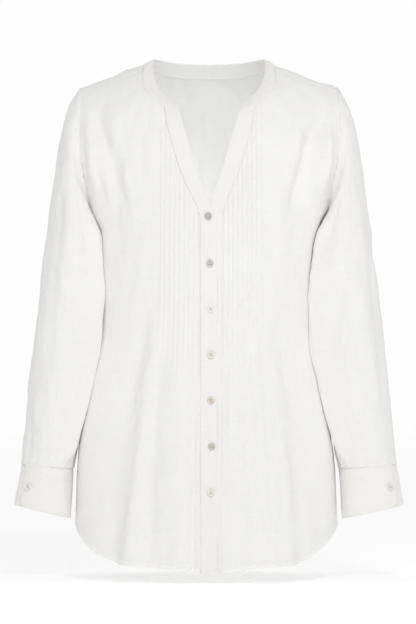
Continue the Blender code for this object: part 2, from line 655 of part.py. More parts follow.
def back_grid():
    """The back as one grid, up over both shoulders to the forward shoulder seams; its middle column is at x = 0."""
    top = back_top()
    count = len(top)

    # Heights are measured down from the shoulder line, negative on the front side of it
    arm_turns = arm_turns_back()
    arm = ring_points(SLEEVE[0], arm_turns, CAP_BULGE)
    arm_down = ridge(arm[:, 0]) - arm[:, 2]
    arm_down = np.where(arm[:, 1] < -1e-6, -arm_down, arm_down)
    arm_down[-1] = ridge(arm[-1, 0]) - arm[-1, 2]
    side_z = np.linspace(arm[-1, 2], HEM_SIDE, SIDE_ROWS + 1)[1:]
    last_down = np.concatenate([arm_down, ridge(half_width(side_z)) - side_z])
    rows = len(last_down)
    top_down = ridge(top[:, 0]) - top[:, 2]
    top_down = np.where(top[:, 1] < 0, -top_down, top_down)
    share = (last_down - last_down[0]) / (last_down[-1] - last_down[0])
    share = (0.5 * share + 0.5 * np.linspace(0, 1, rows))[:, None]
    first_down = top_down[0] + (-HEM_BACK - top_down[0]) * share[:, 0] ** 1.4
    spread = np.arange(count) / (count - 1)
    ruled = first_down[:, None] * (1 - spread) + last_down[:, None] * spread
    down = ruled + (top_down - ruled[0]) * (1 - ease(share / 0.6))

    last_turn = np.concatenate([turn_of(arm[:, 0], arm[:, 2]), np.ones(SIDE_ROWS)])
    last_turn[BACK_ARM_ROWS] = 1.0
    turns = np.zeros((rows, count))
    z = np.zeros((rows, count))
    stay = 1 - ease(share[:, 0] / 0.35)
    for j in range(count):
        x = np.full(rows, top[j, 0])
        for _ in range(4):
            z[:, j] = ridge(x) - np.abs(down[:, j])
            own = turn_of(top[j, 0], z[:, j])
            turns[:, j] = last_turn * spread[j] * (1 - stay) + own * stay
            x = body_point(turns[:, j], z[:, j])[:, 0]
    turns[:, -1] = last_turn
    z[: BACK_ARM_ROWS + 1, -1] = arm[:, 2]
    z[BACK_ARM_ROWS + 1 :, -1] = side_z
    z = z + (hem_height(turns[-1], HEM_BACK) - z[-1]) * ease((share - 0.45) / 0.55)

    behind = body_point(turns, z, behind=True)
    before = body_point(turns, z)
    plain = np.where((down < 0)[..., None], before, behind)
    plain += (top - plain[0])[None] * ((1 - ease(share / 0.40)) ** 1.5)[..., None]
    settle = spread**5
    plain[: BACK_ARM_ROWS + 1] += (arm - plain[: BACK_ARM_ROWS + 1, -1])[:, None] * settle[None, :, None]
    plain[:, 0, 0] = 0.0

    mirror = np.array([-1.0, 1.0, 1.0])
    whole = np.concatenate([plain[:, :0:-1] * mirror, plain], axis=1)
    both_turns = np.concatenate([turns[:, :0:-1], turns], axis=1)
    both_z = np.concatenate([z[:, :0:-1], z], axis=1)
    both_down = np.concatenate([down[:, :0:-1], down], axis=1)
    edge = np.minimum(np.arange(2 * count - 1), 2 * count - 2 - np.arange(2 * count - 1))
    quiet = ease((1 - both_turns) / 0.16) * ease(edge / 3.0)[None, :] * ease((both_down - 0.03) / 0.05)
    normals = grid_normals(whole, away_from_middle(whole))
    whole += normals * (fold_depths(BACK_FOLDS, whole[..., 0], both_z) * quiet)[..., None]
    normals = grid_normals(whole, away_from_middle(whole))
    for last, near, hand in ((-1, -2, 1.0), (0, 1, -1.0)):
        hands = np.array([hand, 1.0, 1.0])
        normals[:, last] = unit(normals[:, last] * np.array([1.0, 0.0, 1.0]))
        arm_own = normals[: BACK_ARM_ROWS + 1, near] * hands
        normals[: BACK_ARM_ROWS + 1, last] = armhole_normals(arm_turns, arm_own) * hands
        normals[BACK_ARM_ROWS, last] = (hand, 0.0, 0.0)
    first = BACK_NECK_COLUMNS
    shoulder = own_normals(top[first:-1, 0], top[first:-1, 2])
    normals[0, count - 1 + first : -1] = shoulder
    normals[0, 1 : count - first] = shoulder[::-1] * mirror
    return whole, normals


def make_back(back):
    grid, normals = back
    for side in ("first", "last", "top"):
        trim(grid, side, SEAM / 2)
    wall_object("back", grid, grid - normals * WALL, CLOTH)


def sleeve_fold_depths(folds, along, turns, girth):
    moved = np.zeros((len(along), len(turns)))
    for fold in folds:
        share = (along - fold.along_a) / (fold.along_b - fold.along_a)
        line = fold.round_a + (fold.round_b - fold.round_a) * share
        strength = ease(share / 0.3) * ease((1 - share) / 0.3)
        apart = (turns[None, :] - line[:, None] + math.pi) % (2 * math.pi) - math.pi
        across = apart * girth[:, None] / (2 * math.pi)
        moved += fold.depth * strength[:, None] * np.exp(-((across / fold.half_width) ** 2))
    return moved


def make_sleeve(side, name):
    """A sleeve from the armhole seam to the cuff seam."""
    turns = np.concatenate([arm_turns_front(), arm_turns_back()[1:-1][::-1] + 2 * math.pi])
    along = np.linspace(0, 1, SLEEVE_RINGS + 1) ** 1.15
    grid = []
    ring_out = []
    for share in along:
        ring = sleeve_ring(share)
        grid.append(ring_points(ring, turns, CAP_BULGE * (1 - ease(share / 0.35))))
        ring_out.append(ring_normals(ring, turns))
    grid = np.array(grid)
    ring_out = np.array(ring_out)
    girth = np.linalg.norm(np.roll(grid, -1, axis=1) - grid, axis=2).sum(axis=1)
    still = ease((along - 0.06) / 0.12)[:, None] * ease((1 - along) / 0.06)[:, None]
    moved = sleeve_fold_depths(SLEEVE_FOLDS[side], along, turns % (2 * math.pi), girth) * still
    grid += tube_normals(grid, ring_out) * moved[..., None]
    normals = tube_normals(grid, ring_out)
    normals[0] = armhole_normals(turns, normals[0])
    trim(grid, "top", SEAM / 2)
    trim(grid, "low", SEAM / 2)
    turned = np.array([side, 1.0, 1.0])
    wall_object(name, grid * turned, (grid - normals * WALL) * turned, CLOTH, closed=True)


def tube_normals(grid, out):
    """Unit normals of a grid whose columns run round a tube."""
    wrapped = np.concatenate([grid[:, -1:], grid, grid[:, :1]], axis=1)
    normals = unit(np.cross(np.gradient(wrapped, axis=0), np.gradient(wrapped, axis=1)))[:, 1:-1]
    return normals if (normals * out).sum() > 0 else -normals


def make_cuff(side, name):
    """A cuff wrapped once round with a lapped, round-cornered end over the other, at the outer front of the wrist."""
    lap = CUFF_LAP / CUFF_GIRTH * 2 * math.pi
    lapped = CUFF_EDGE + lap * np.array([0.0, 0.06, 0.18, 0.36, 0.60, 1.0])
    between = np.linspace(CUFF_EDGE + lap, CUFF_EDGE + 2 * math.pi, CUFF_STEPS + 1)[1:-1]
    turns = np.concatenate([lapped, between, lapped + 2 * math.pi])
    shares = np.linspace(0, 1, CUFF_ROWS + 1)
    top, end = np.array(CUFF_TOP), np.array(CUFF_END)
    outer = np.array([ring_points(top + (end - top) * s, turns, 0.0) for s in shares])
    normals = np.array([ring_normals(top + (end - top) * s, turns) for s in shares])
    # The lapped end lies over the other end, so the wall steps out there
    over = 1 - ease((turns - turns[0] - lap * 1.05) / (lap * 1.0))
    outer += normals * (over * (BAND_WALL + LAP))[None, :, None]
    # The lapped end's lower corner is cut round
    height = np.linalg.norm(outer[-1] - outer[0], axis=1)
    from_edge = (turns - turns[0]) * CUFF_GIRTH / (2 * math.pi)
    inside = np.clip(1 - from_edge / CUFF_CORNER, 0, 1)
    keep = 1 - CUFF_CORNER * (1 - np.sqrt(1 - inside**2)) * 0.98 / height
    outer = outer[:1] + (outer - outer[:1]) * keep[None, :, None]
    trim(outer, "top", SEAM / 2)
    turned = np.array([side, 1.0, 1.0])
    wall_object(name, outer * turned, (outer - normals * BAND_WALL) * turned, BAND_CLOTH)


def band_grid(side):
    """Half of the neck band, from the middle of the back to one end of the V: free edge, middle and seam rows."""
    edge = by_length([tuple(p) for p in EDGE_ALL])
    top, v_end, neck_end = front_top(side)
    foot = strip_row_points(UPPER_STRIP if side < 0 else UNDER_STRIP, 0)[1:]
    low = np.concatenate([back_top()[: BACK_NECK_COLUMNS + 1], top[v_end:neck_end][::-1], foot])
    travelled = np.concatenate([[0], np.cumsum(np.linalg.norm(np.diff(low, axis=0), axis=1))])
    high = edge(travelled / travelled[-1])
    half = np.stack([high, (high + low) / 2, low])
    half[:, 0, 0] = 0.0
    normals = grid_normals(half, half * np.array([1.0, 1.0, 0.0]) + np.array([0, 0, 0.02]))
    half[1] += normals[1] * BAND_CROWN
    normals[:, 0, 0] = 0.0
    return half, unit(normals)


def make_band(bands):
    """The neck band, round the back of the neck from one end of the V to the other."""
    mirror = np.array([-1.0, 1.0, 1.0])
    whole, normals = (
        np.concatenate([bands[-1][k][:, :0:-1] * mirror, bands[1][k]], axis=1) for k in (0, 1)
    )
    trim(whole, "low", SEAM)
    wall_object("neck_band", whole, whole - normals * BAND_WALL, BAND_CLOTH)


def join_at_neck(fronts, back, bands, strips):
    """Gives the pieces that meet at the neck seam one shared direction at each of its points."""
    back_middle = back[1].shape[1] // 2
    for side in (-1, 1):
        _, v_end, neck_end = front_top(side)
        turned = np.array([side, 1.0, 1.0])
        band = bands[side][1][-1]
        for i in range(len(band)):
            pieces = [band[i]]
            in_front = neck_end - (i - BACK_NECK_COLUMNS)
            in_strip = v_end - in_front
            if i <= BACK_NECK_COLUMNS:
                pieces.append(back[1][0, back_middle + side * i] * turned)
            if i >= BACK_NECK_COLUMNS and in_strip <= 0:
                pieces.append(fronts[side][1][0, in_front])
            if in_strip >= 0:
                pieces.append(strips[side][1][0, in_strip])
            shared = unit(sum(pieces[1:]) / len(pieces[1:]) + band[i])
            band[i] = shared
            if i <= BACK_NECK_COLUMNS:
                back[1][0, back_middle + side * i] = shared * turned
            if i >= BACK_NECK_COLUMNS and in_strip <= 0:
                fronts[side][1][0, in_front] = shared
            if in_strip >= 0:
                strips[side][1][0, in_strip] = shared


def strip_row_points(strip, row):
    """The outer edge, middle and inner edge of one row of a strip's table, on the plain front."""
    r = strip[row]
    share = np.array([0.0, 0.5, 1.0])
    x = abs(r.outer_x) + (r.inner_x * (1 if r.outer_x > 0 else -1) - abs(r.outer_x)) * share
    z = r.outer_z + (r.inner_z - r.outer_z) * share
    return front_at(x, z)


def strip_edge(side, grid):
    """Points of the seam between a strip and its front, down from the neck band to the hem."""
    _, v_end, _ = front_top(side)
    points = np.concatenate([grid[0, : v_end + 1][::-1], grid[1:, 0]])
    fine = [points[0]]
    for a, b in zip(points[:-1], points[1:]):
        parts = max(1, round(np.linalg.norm(b - a) / STRIP_STEP))
        fine += [a + (b - a) * i / parts for i in range(1, parts + 1)]
    return np.array(fine)


def strip_grid(side, front):
    """A front strip as a grid: rows from the neck band down the V and the buttoned front to the hem."""
    strip = UPPER_STRIP if side < 0 else UNDER_STRIP
    table = np.array([tuple(r) for r in strip])
    outer = strip_edge(side, front[0])
    travelled = np.concatenate([[0], np.cumsum(np.hypot(*np.diff(table[:, 2:], axis=0).T))])
    inner_path = through(travelled, table[:, :2])
    gone = np.concatenate([[0], np.cumsum(np.hypot(np.diff(outer[:, 0]), np.diff(outer[:, 2])))])
    inner = inner_path(np.minimum(gone, travelled[-1]))
    past = np.maximum(gone - travelled[-1], 0)
    inner[:, 1] = np.where(past > 0, outer[:, 2], inner[:, 1])
    across = np.linspace(0, 1, STRIP_COLUMNS + 1)
    x = outer[:, :1] + (inner[:, :1] * side - outer[:, :1]) * across
    z = outer[:, 2:] + (inner[:, 1:] - outer[:, 2:]) * across
    z[-1] = np.where(across > 0, hem_height(turn_of(x[-1], z[-1]), HEM_FRONT), z[-1])
    plain = front_at(x, z)
    plain[:, 0] = outer
    normals = own_normals(np.abs(x), z) * np.where(x < 0, -1.0, 1.0)[..., None] ** np.array([1, 0, 0])
    return plain, normals


def make_strip(side, strip, layer, name):
    """One front strip; layer 1 lies over layer 0."""
    plain, normals = strip
    trim(plain, "top", SEAM)
    if layer == 0:
        trim(plain, "first", SEAM / 2)
    face = plain + normals * (layer * (WALL + LAP))
    turned = np.array([side, 1.0, 1.0])
    wall_object(name, face * turned, (face - normals * WALL) * turned, BAND_CLOTH)


def make_button(name, middle, normal):
    """A shell button with a raised rim round a dished face and four holes, its back on the point middle."""
    normal = unit(np.array(normal, float))
    side = unit(np.cross([0.0, 0.0, 1.0], normal))
    up = np.cross(normal, side)
    around = np.arange(BUTTON_SIDES) * 2 * math.pi / BUTTON_SIDES

    def ring_at(radius, height):
        return [
            middle + side * radius * math.cos(a) + up * radius * math.sin(a) + normal * height for a in around
        ]

    rings = [
        ring_at(BUTTON_RADIUS * 0.85, 0.0),
        ring_at(BUTTON_RADIUS, BUTTON_THICK * 0.6),
        ring_at(BUTTON_RADIUS - BUTTON_RIM * 0.6, BUTTON_THICK),
        ring_at(BUTTON_RADIUS - BUTTON_RIM * 1.6, BUTTON_THICK - BUTTON_DISH),
    ]
    points = [p for ring in rings for p in ring]
    n = BUTTON_SIDES
    faces = [
        [i * n + j, i * n + (j + 1) % n, (i + 1) * n + (j + 1) % n, (i + 1) * n + j]
        for i in range(len(rings) - 1)
        for j in range(n)
    ]
    faces.append(list(range(n))[::-1])
    faces.append([(len(rings) - 1) * n + j for j in range(n)])
    button = add_object(name, points, faces, SHELL)
    for ix in (-1, 1):
        for iz in (-1, 1):
            centre = middle + side * ix * HOLE_PITCH + up * iz * HOLE_PITCH
            drill = drill_at(f"{name}_drill", centre - normal * 0.001, normal, BUTTON_THICK + 0.002)
            cut = button.modifiers.new("hole", "BOOLEAN")
            cut.operation = "DIFFERENCE"
            cut.solver = "EXACT"
            cut.object = drill


def drill_at(name, foot, direction, length):
    """A six-sided cutter for one button hole."""
    side = unit(np.cross([0.0, 0.0, 1.0], direction))
    up = np.cross(direction, side)
    around = np.arange(HOLE_SIDES) * 2 * math.pi / HOLE_SIDES
    ends = [
        foot + (side * math.cos(a) + up * math.sin(a)) * HOLE_RADIUS + direction * reach
        for reach in (0.0, length)
        for a in around
    ]
    n = HOLE_SIDES
    faces = [[j, (j + 1) % n, n + (j + 1) % n, n + j] for j in range(n)]
    faces += [list(range(n))[::-1], list(range(n, 2 * n))]
    cutter = add_object(name, ends, faces, SHELL)
    cutter.hide_render = True
    cutter.display_type = "WIRE"
    return cutter


def make_buttons():
    for number, spot in enumerate(BUTTONS, 1):
        here = front_at(spot.x, spot.z)
        normal = own_normals(np.array(0.0005), np.array(spot.z))
        normal[0] = 0.0
        seat = here + unit(normal) * (WALL + 2 * LAP + BUTTON_CLEAR)
        make_button(f"button_{number}", seat, normal)
    for side, name in ((-1, "cuff_button_right"), (1, "cuff_button_left")):
        ring = (np.array(CUFF_TOP) + np.array(CUFF_END)) / 2
        turn = np.array([CUFF_EDGE + CUFF_LAP * 0.56 / CUFF_GIRTH * 2 * math.pi])
        here = ring_points(ring, turn, 0.0)[0]
        normal = ring_normals(ring, turn)[0]
        seat = here + normal * (BAND_WALL + 2 * LAP + BUTTON_CLEAR)
        mirror = np.array([side, 1.0, 1.0])
        make_button(name, seat * mirror, normal * mirror)


def main():
    for old in list(bpy.data.objects):
        bpy.data.objects.remove(old)
    fronts = {side: front_grid(side) for side in (-1, 1)}
    strips = {side: strip_grid(side, fronts[side]) for side in (-1, 1)}
    bands = {side: band_grid(side) for side in (-1, 1)}
    back = back_grid()
    join_at_neck(fronts, back, bands, strips)
    make_front(-1, fronts[-1], "front_right")
    make_front(1, fronts[1], "front_left")
    make_back(back)
    make_sleeve(-1, "sleeve_right")
    make_sleeve(1, "sleeve_left")
    make_cuff(-1, "cuff_right")
    make_cuff(1, "cuff_left")
    make_band(bands)
    make_strip(-1, strips[-1], 1, "buttonhole_strip")
    make_strip(1, strips[1], 0, "button_strip")
    make_buttons()


main()
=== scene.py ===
"""A woman's long-sleeved white blouse in slubby voile, with a neck band and a pin-tucked bib."""

import math
from collections import namedtuple

import bpy
import numpy as np
from mathutils import Matrix, Vector


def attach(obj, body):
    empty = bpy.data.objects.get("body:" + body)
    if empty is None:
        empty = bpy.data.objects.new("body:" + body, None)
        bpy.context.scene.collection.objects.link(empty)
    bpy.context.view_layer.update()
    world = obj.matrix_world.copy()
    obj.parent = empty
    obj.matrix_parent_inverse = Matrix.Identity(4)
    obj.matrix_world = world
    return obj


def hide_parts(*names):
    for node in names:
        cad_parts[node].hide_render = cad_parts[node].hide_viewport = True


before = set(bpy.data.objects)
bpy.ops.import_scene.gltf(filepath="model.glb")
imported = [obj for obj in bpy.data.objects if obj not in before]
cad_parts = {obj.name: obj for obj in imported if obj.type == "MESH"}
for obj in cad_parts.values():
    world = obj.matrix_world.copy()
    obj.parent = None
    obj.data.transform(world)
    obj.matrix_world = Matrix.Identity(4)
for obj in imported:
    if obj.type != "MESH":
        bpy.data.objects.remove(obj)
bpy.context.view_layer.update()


# Front panels
# Two panels of slubby linen and cotton voile, each with nine narrow pin tucks sewn down from the neck.
# The tucks are let go below the bust into soft fullness. Each panel is sewn to a front strip, the neck
# band, the forward shoulder seam, the armhole and the side seam, and its foot is a narrow turned hem.

Section = namedtuple("Section", "height half_width front back")
BODY = (
    Section(0.020, 0.222, 0.084, 0.086),
    Section(0.000, 0.222, 0.086, 0.088),
    Section(-0.050, 0.222, 0.095, 0.097),
    Section(-0.100, 0.220, 0.103, 0.104),
    Section(-0.135, 0.214, 0.110, 0.107),
    Section(-0.170, 0.203, 0.118, 0.108),
    Section(-0.200, 0.188, 0.124, 0.107),
    Section(-0.220, 0.176, 0.127, 0.105),
    Section(-0.236, 0.166, 0.128, 0.104),
    Section(-0.252, 0.1595, 0.128, 0.102),
    Section(-0.275, 0.1570, 0.127, 0.100),
    Section(-0.310, 0.1570, 0.123, 0.097),
    Section(-0.350, 0.1592, 0.119, 0.095),
    Section(-0.400, 0.1620, 0.117, 0.096),
    Section(-0.440, 0.1675, 0.118, 0.100),
    Section(-0.480, 0.1755, 0.121, 0.105),
    Section(-0.520, 0.1820, 0.125, 0.111),
    Section(-0.560, 0.1880, 0.129, 0.117),
    Section(-0.620, 0.1940, 0.134, 0.124),
    Section(-0.680, 0.1965, 0.138, 0.130),
    Section(-0.780, 0.1985, 0.142, 0.136),
)
SQUARENESS = 2.4
SHOULDER_SLOPE = 0.345
NECK_HALF = 0.100
NECK_RISE = 0.020
ARCH = 1.75
ARCH_FRONT = 0.130
ARCH_BACK = 0.110
ARCH_NAPE = 0.045
HEM_FRONT = -0.7528
HEM_BACK = -0.7600
HEM_SIDE = -0.6850
HEM_DIP = 0.0085
HEM_CURVE = 1.85  # how late the hem turns up towards the side
Lean = namedtuple("Lean", "height shift")
LEANS = (
    Lean(-0.780, -0.0035),
    Lean(-0.600, -0.0045),
    Lean(-0.500, -0.0055),
    Lean(-0.300, -0.0030),
    Lean(-0.240, 0.0),
    Lean(0.020, 0.0),
)
LEAN_FULL_X = 0.155  # where the whole shift is reached, out from the middle
LEAN_STOP_X = 0.190  # where it starts to fade again, under the sleeves
LEAN_FADE = 0.080
# The armhole is the first ring, and the last is the cuff seam
Ring = namedtuple("Ring", "outer_x outer_z inner_x inner_z half_depth y")
SLEEVE = (
    Ring(0.1935, -0.0330, 0.1660, -0.2360, 0.0580, 0.000),
    Ring(0.2078, -0.0570, 0.1672, -0.2390, 0.0630, 0.000),
    Ring(0.2165, -0.0810, 0.1672, -0.2435, 0.0665, -0.001),
    Ring(0.2235, -0.1185, 0.1650, -0.2510, 0.0690, -0.004),
    Ring(0.2310, -0.1635, 0.1610, -0.2620, 0.0695, -0.010),
    Ring(0.2370, -0.2085, 0.1580, -0.2800, 0.0680, -0.016),
    Ring(0.2423, -0.2535, 0.1570, -0.3050, 0.0660, -0.022),
    Ring(0.2505, -0.3210, 0.1592, -0.3520, 0.0620, -0.028),
    Ring(0.2610, -0.4110, 0.1665, -0.4300, 0.0565, -0.032),
    Ring(0.2705, -0.5010, 0.1838, -0.5180, 0.0510, -0.034),
    Ring(0.2772, -0.5700, 0.1925, -0.5800, 0.0440, -0.034),
    Ring(0.2790, -0.5955, 0.1978, -0.6010, 0.0380, -0.034),
)
CAP_BULGE = 0.0125
SEAM_TURN = 0.40
ARMHOLE_FOOT = -0.245
# The two front strips, as seen from the front: inner is the free edge
Strip = namedtuple("Strip", "inner_x inner_z outer_x outer_z")
UPPER_STRIP = (
    Strip(-0.0426, -0.0753, -0.0670, -0.0637),
    Strip(-0.0356, -0.0994, -0.0620, -0.0925),
    Strip(-0.0290, -0.1233, -0.0546, -0.1213),
    Strip(-0.0162, -0.1640, -0.0407, -0.1659),
    Strip(-0.0078, -0.1867, -0.0304, -0.1887),
    Strip(0.0000, -0.2058, -0.0196, -0.2102),
    Strip(0.0069, -0.2192, -0.0142, -0.2270),
    Strip(0.0113, -0.2339, -0.0132, -0.2427),
    Strip(0.0122, -0.2525, -0.0132, -0.2584),
    Strip(0.0122, -0.3014, -0.0132, -0.3014),
)
UNDER_STRIP = (
    Strip(0.0433, -0.0748, 0.0680, -0.0630),
    Strip(0.0366, -0.0994, 0.0635, -0.0925),
    Strip(0.0300, -0.1233, 0.0560, -0.1213),
    Strip(0.0172, -0.1640, 0.0422, -0.1659),
    Strip(0.0090, -0.1867, 0.0323, -0.1887),
    Strip(0.0015, -0.2058, 0.0250, -0.2083),
    Strip(-0.0034, -0.2182, 0.0206, -0.2231),
    Strip(-0.0059, -0.2329, 0.0196, -0.2368),
    Strip(-0.0059, -0.2525, 0.0196, -0.2545),
    Strip(-0.0059, -0.3014, 0.0196, -0.3014),
)
ViewPoint = namedtuple("ViewPoint", "x z")
SEAM_FRONT = (
    ViewPoint(0.0998, -0.0078),
    ViewPoint(0.0994, -0.0238),
    ViewPoint(0.0947, -0.0387),
    ViewPoint(0.0861, -0.0500),
    ViewPoint(0.0770, -0.0571),
)
# A tuck is a sewn fold that lies towards the side: its height at distances in from its steep edge
TUCKS = 9
TUCK_PITCH = 0.0069
FIRST_TUCK = {-1: 0.0162, 1: 0.0236}
TUCK_END_INNER = -0.398
TUCK_END_OUTER = -0.325
TUCK_SPREAD = 1.55
TuckPoint = namedtuple("TuckPoint", "inward height")
TUCK = (
    TuckPoint(0.0000, 0.0000),
    TuckPoint(0.0003, 0.0008),
    TuckPoint(0.0006, 0.0011),
    TuckPoint(0.0011, 0.0012),
    TuckPoint(0.0018, 0.0011),
    TuckPoint(0.0023, 0.0008),
    TuckPoint(0.0027, 0.0002),
    TuckPoint(0.0032, 0.0001),
    TuckPoint(0.0046, 0.0000),
)
TUCK_STITCH = 0.0027  # where its stitches run
TUCK_STEEP = 0.0009  # how far in its steep side reaches
TUCK_MIDDLE = 0.0014
LOOSE_RISE = 0.0006  # mean height and wave of the cloth that the tucks let go
LOOSE_WAVE = 0.0009
TUCK_LET_GO = 0.075  # over which a released tuck fades out
BIB_WIDTH = 0.075
Fold = namedtuple("Fold", "top_x top_z low_x low_z bow half_width depth")
HEM_LINE = -0.780
FOLD_START = 0.28  # share of its length over which a fold sets in
FOLD_END = 0.30
SIDE_QUIET = 0.16  # turns from the side seam within which no fold shows
ARM_PULL = 3.5  # how close to the armhole the cloth starts to follow its edge
FRONT_FOLDS = {
    -1: (
        Fold(0.078, -0.320, 0.148, HEM_LINE, 0.012, 0.023, -0.0123),
        Fold(0.053, -0.350, 0.091, HEM_LINE, 0.009, 0.013, -0.0073),
        Fold(0.022, -0.480, 0.024, HEM_LINE, 0.000, 0.009, -0.0049),
        Fold(0.066, -0.330, 0.118, HEM_LINE, 0.012, 0.014, 0.0054),
        Fold(0.040, -0.400, 0.047, HEM_LINE, 0.000, 0.016, 0.0049),
        Fold(0.174, -0.055, 0.122, -0.245, -0.003, 0.013, -0.0100),
        Fold(0.186, -0.060, 0.166, -0.190, 0.000, 0.009, 0.0060),
        Fold(0.171, -0.128, 0.157, -0.215, 0.000, 0.006, -0.0033),
        Fold(0.060, -0.395, 0.074, -0.600, 0.000, 0.007, 0.0018),
        Fold(0.100, -0.480, 0.128, -0.740, 0.004, 0.008, -0.0020),
        Fold(0.150, -0.330, 0.128, -0.470, 0.006, 0.011, -0.0022),
    ),
    1: (
        Fold(0.083, -0.325, 0.153, HEM_LINE, 0.018, 0.023, -0.0116),
        Fold(0.078, -0.365, 0.100, HEM_LINE, 0.004, 0.009, -0.0045),
        Fold(0.050, -0.430, 0.078, HEM_LINE, 0.000, 0.014, -0.0049),
        Fold(0.090, -0.360, 0.121, HEM_LINE, 0.006, 0.013, 0.0061),
        Fold(0.034, -0.430, 0.044, HEM_LINE, 0.000, 0.014, 0.0037),
        Fold(0.176, -0.050, 0.122, -0.245, -0.004, 0.013, -0.0160),
        Fold(0.188, -0.080, 0.160, -0.205, 0.000, 0.010, 0.0070),
        Fold(0.174, -0.135, 0.158, -0.205, 0.000, 0.006, -0.0033),
        Fold(0.085, -0.375, 0.093, -0.560, 0.000, 0.006, 0.0020),
        Fold(0.058, -0.385, 0.064, -0.560, 0.000, 0.006, -0.0018),
        Fold(0.148, -0.600, 0.163, HEM_LINE, 0.000, 0.010, 0.0029),
    ),
}
FINE = 6  # rows of the drawn cloth to one row of its plain solid
FINE_ACROSS = 10
FRONT_ARM_ROWS = 10 * FINE
SIDE_ROWS = 13 * FINE
SHOULDER_COLUMNS = 6 * FINE_ACROSS
NECK_COLUMNS = 4 * FINE_ACROSS
PLY = 0.0007  # one ply of voile
HEM_TURN = 0.0070
HEM_LEVELS = (
    *(0.0120, 0.0090, 0.0078, 0.0073, 0.0070, 0.0066, 0.0060),
    *(0.0055, 0.0050, 0.0035, 0.0018, 0.0009, 0.0004),
)
HEM_STITCH = 0.0055
HEM_RISE = 0.0006
HEM_DENT = 0.0004
SEAM_DIP = 0.0008
PUCKER = 0.0007
PUCKER_REACH = 0.009
THREAD_LIFT = 0.0001  # how far the middle of a stitch stands out of the cloth
STITCH_PITCH = 0.0026
STITCH_LENGTH = 0.0020
THREAD_WIDTH = 0.00034
SEAM_LEVELS = (0.0018, 0.0009, 0.0004)
SHOULDER_ROWS = (0.0016, 0.0062)  # stitched rows, down from the shoulder seam
V_FOOT = -0.235  # where the strips turn from the V to run straight down
COLUMN_GAP = 0.00012  # the least between two columns of a front


def through(knots, values):
    """A smooth curve through the values at rising knots, which never overshoots them."""
    x = np.asarray(knots, float)
    y = np.asarray(values, float).reshape(len(x), -1)
    step = np.diff(x)[:, None]
    rise = np.diff(y, axis=0) / step
    slope = np.zeros_like(y)
    same = rise[:-1] * rise[1:] > 0
    total = np.where(same, rise[:-1] + rise[1:], 1.0)
    slope[1:-1] = np.where(same, 2 * rise[:-1] * rise[1:] / total, 0.0)
    slope[0] = rise[0]
    slope[-1] = rise[-1]

    def curve(at):
        at = np.asarray(at, float)
        flat = np.clip(at.ravel(), x[0], x[-1])
        i = np.clip(np.searchsorted(x, flat, side="right") - 1, 0, len(x) - 2)
        width = (x[i + 1] - x[i])[:, None]
        t = ((flat - x[i])[:, None]) / width
        value = (
            (2 * t**3 - 3 * t**2 + 1) * y[i]
            + (t**3 - 2 * t**2 + t) * width * slope[i]
            + (3 * t**2 - 2 * t**3) * y[i + 1]
            + (t**3 - t**2) * width * slope[i + 1]
        )
        return value.reshape(*at.shape, -1) if y.shape[1] > 1 else value.reshape(at.shape)

    return curve


def by_length(points):
    """A smooth curve through points in space, by share of its length from 0 to 1."""
    points = np.asarray(points, float)
    length = np.concatenate([[0], np.cumsum(np.linalg.norm(np.diff(points, axis=0), axis=1))])
    return through(length / length[-1], points)


def ease(t):
    """0 to 1 with level ends."""
    t = np.clip(t, 0, 1)
    return t * t * (3 - 2 * t)


def unit(v):
    return v / np.maximum(np.linalg.norm(v, axis=-1, keepdims=True), 1e-12)


rising = BODY[::-1]
half_width = through([s.height for s in rising], [s.half_width for s in rising])
front_depth = through([s.height for s in rising], [s.front for s in rising])
back_depth = through([s.height for s in rising], [s.back for s in rising])
lean = through([r.height for r in LEANS], [r.shift for r in LEANS])
sleeve_ring = through(np.linspace(0, 1, len(SLEEVE)), [tuple(r) for r in SLEEVE])


def ridge(x):
    """Height of the shoulder line over x."""
    over = np.abs(x) - NECK_HALF
    return np.where(over > 0, -SHOULDER_SLOPE * over, NECK_RISE * (1 - np.exp(over / 0.03)))


def arch(below, height):
    """How much of its depth the body has reached at this distance below the shoulder line."""
    left = np.clip(1 - below / height, 0, 1)
    return (1 - left**ARCH) ** (1 / ARCH)


def turn_of(x, z):
    """The body's own angle, 0 at the middle and 1 at the side seam, of a point seen at x and z."""
    share = np.clip(np.abs(x) / half_width(z), 0, 1)
    return 2 / math.pi * np.arcsin(share ** (SQUARENESS / 2))


def body_point(turn, z, behind=False):
    """A point of the plain body: x is never negative."""
    angle = np.clip(turn, 0, 1) * math.pi / 2
    x = half_width(z) * np.sin(angle) ** (2 / SQUARENESS)
    reach = np.clip(np.cos(angle), 0, 1) ** (2 / SQUARENESS)
    below = ridge(x) - z
    if behind:
        height = ARCH_NAPE + (ARCH_BACK - ARCH_NAPE) * ease(x / NECK_HALF)
        y = back_depth(z) * reach * arch(below, height)
    else:
        y = -front_depth(z) * reach * arch(below, ARCH_FRONT)
    return np.stack(np.broadcast_arrays(x, y, z), axis=-1)


def front_at(x, z):
    """A point of the plain front seen at x and z, on either side."""
    x, z = np.broadcast_arrays(np.asarray(x, float), np.asarray(z, float))
    point = body_point(turn_of(x, z), z)
    point[..., 0] = x
    return point


def own_normals(x, z):
    """Outward directions of the plain front at points seen at x and z."""
    step = 0.001
    here = front_at(x, z)
    right = front_at(x + step, z) - here
    above = front_at(x, z - step) - here
    return unit(np.cross(above, right))


def hem_height(turn, middle):
    """Height of the hem at a turn from the middle to the side seam."""
    dip = HEM_DIP * ease(turn / 0.26)
    return middle + dip + (HEM_SIDE - middle - HEM_DIP) * ease((turn - 0.18) / 0.82) ** HEM_CURVE


def drawn_to_hem(z, turns, share, middle):
    """Heights of a grid, its lower rows brought to the curve of the hem."""
    return z + (hem_height(turns[-1], middle) - z[-1]) * ease((share - 0.45) / 0.55)


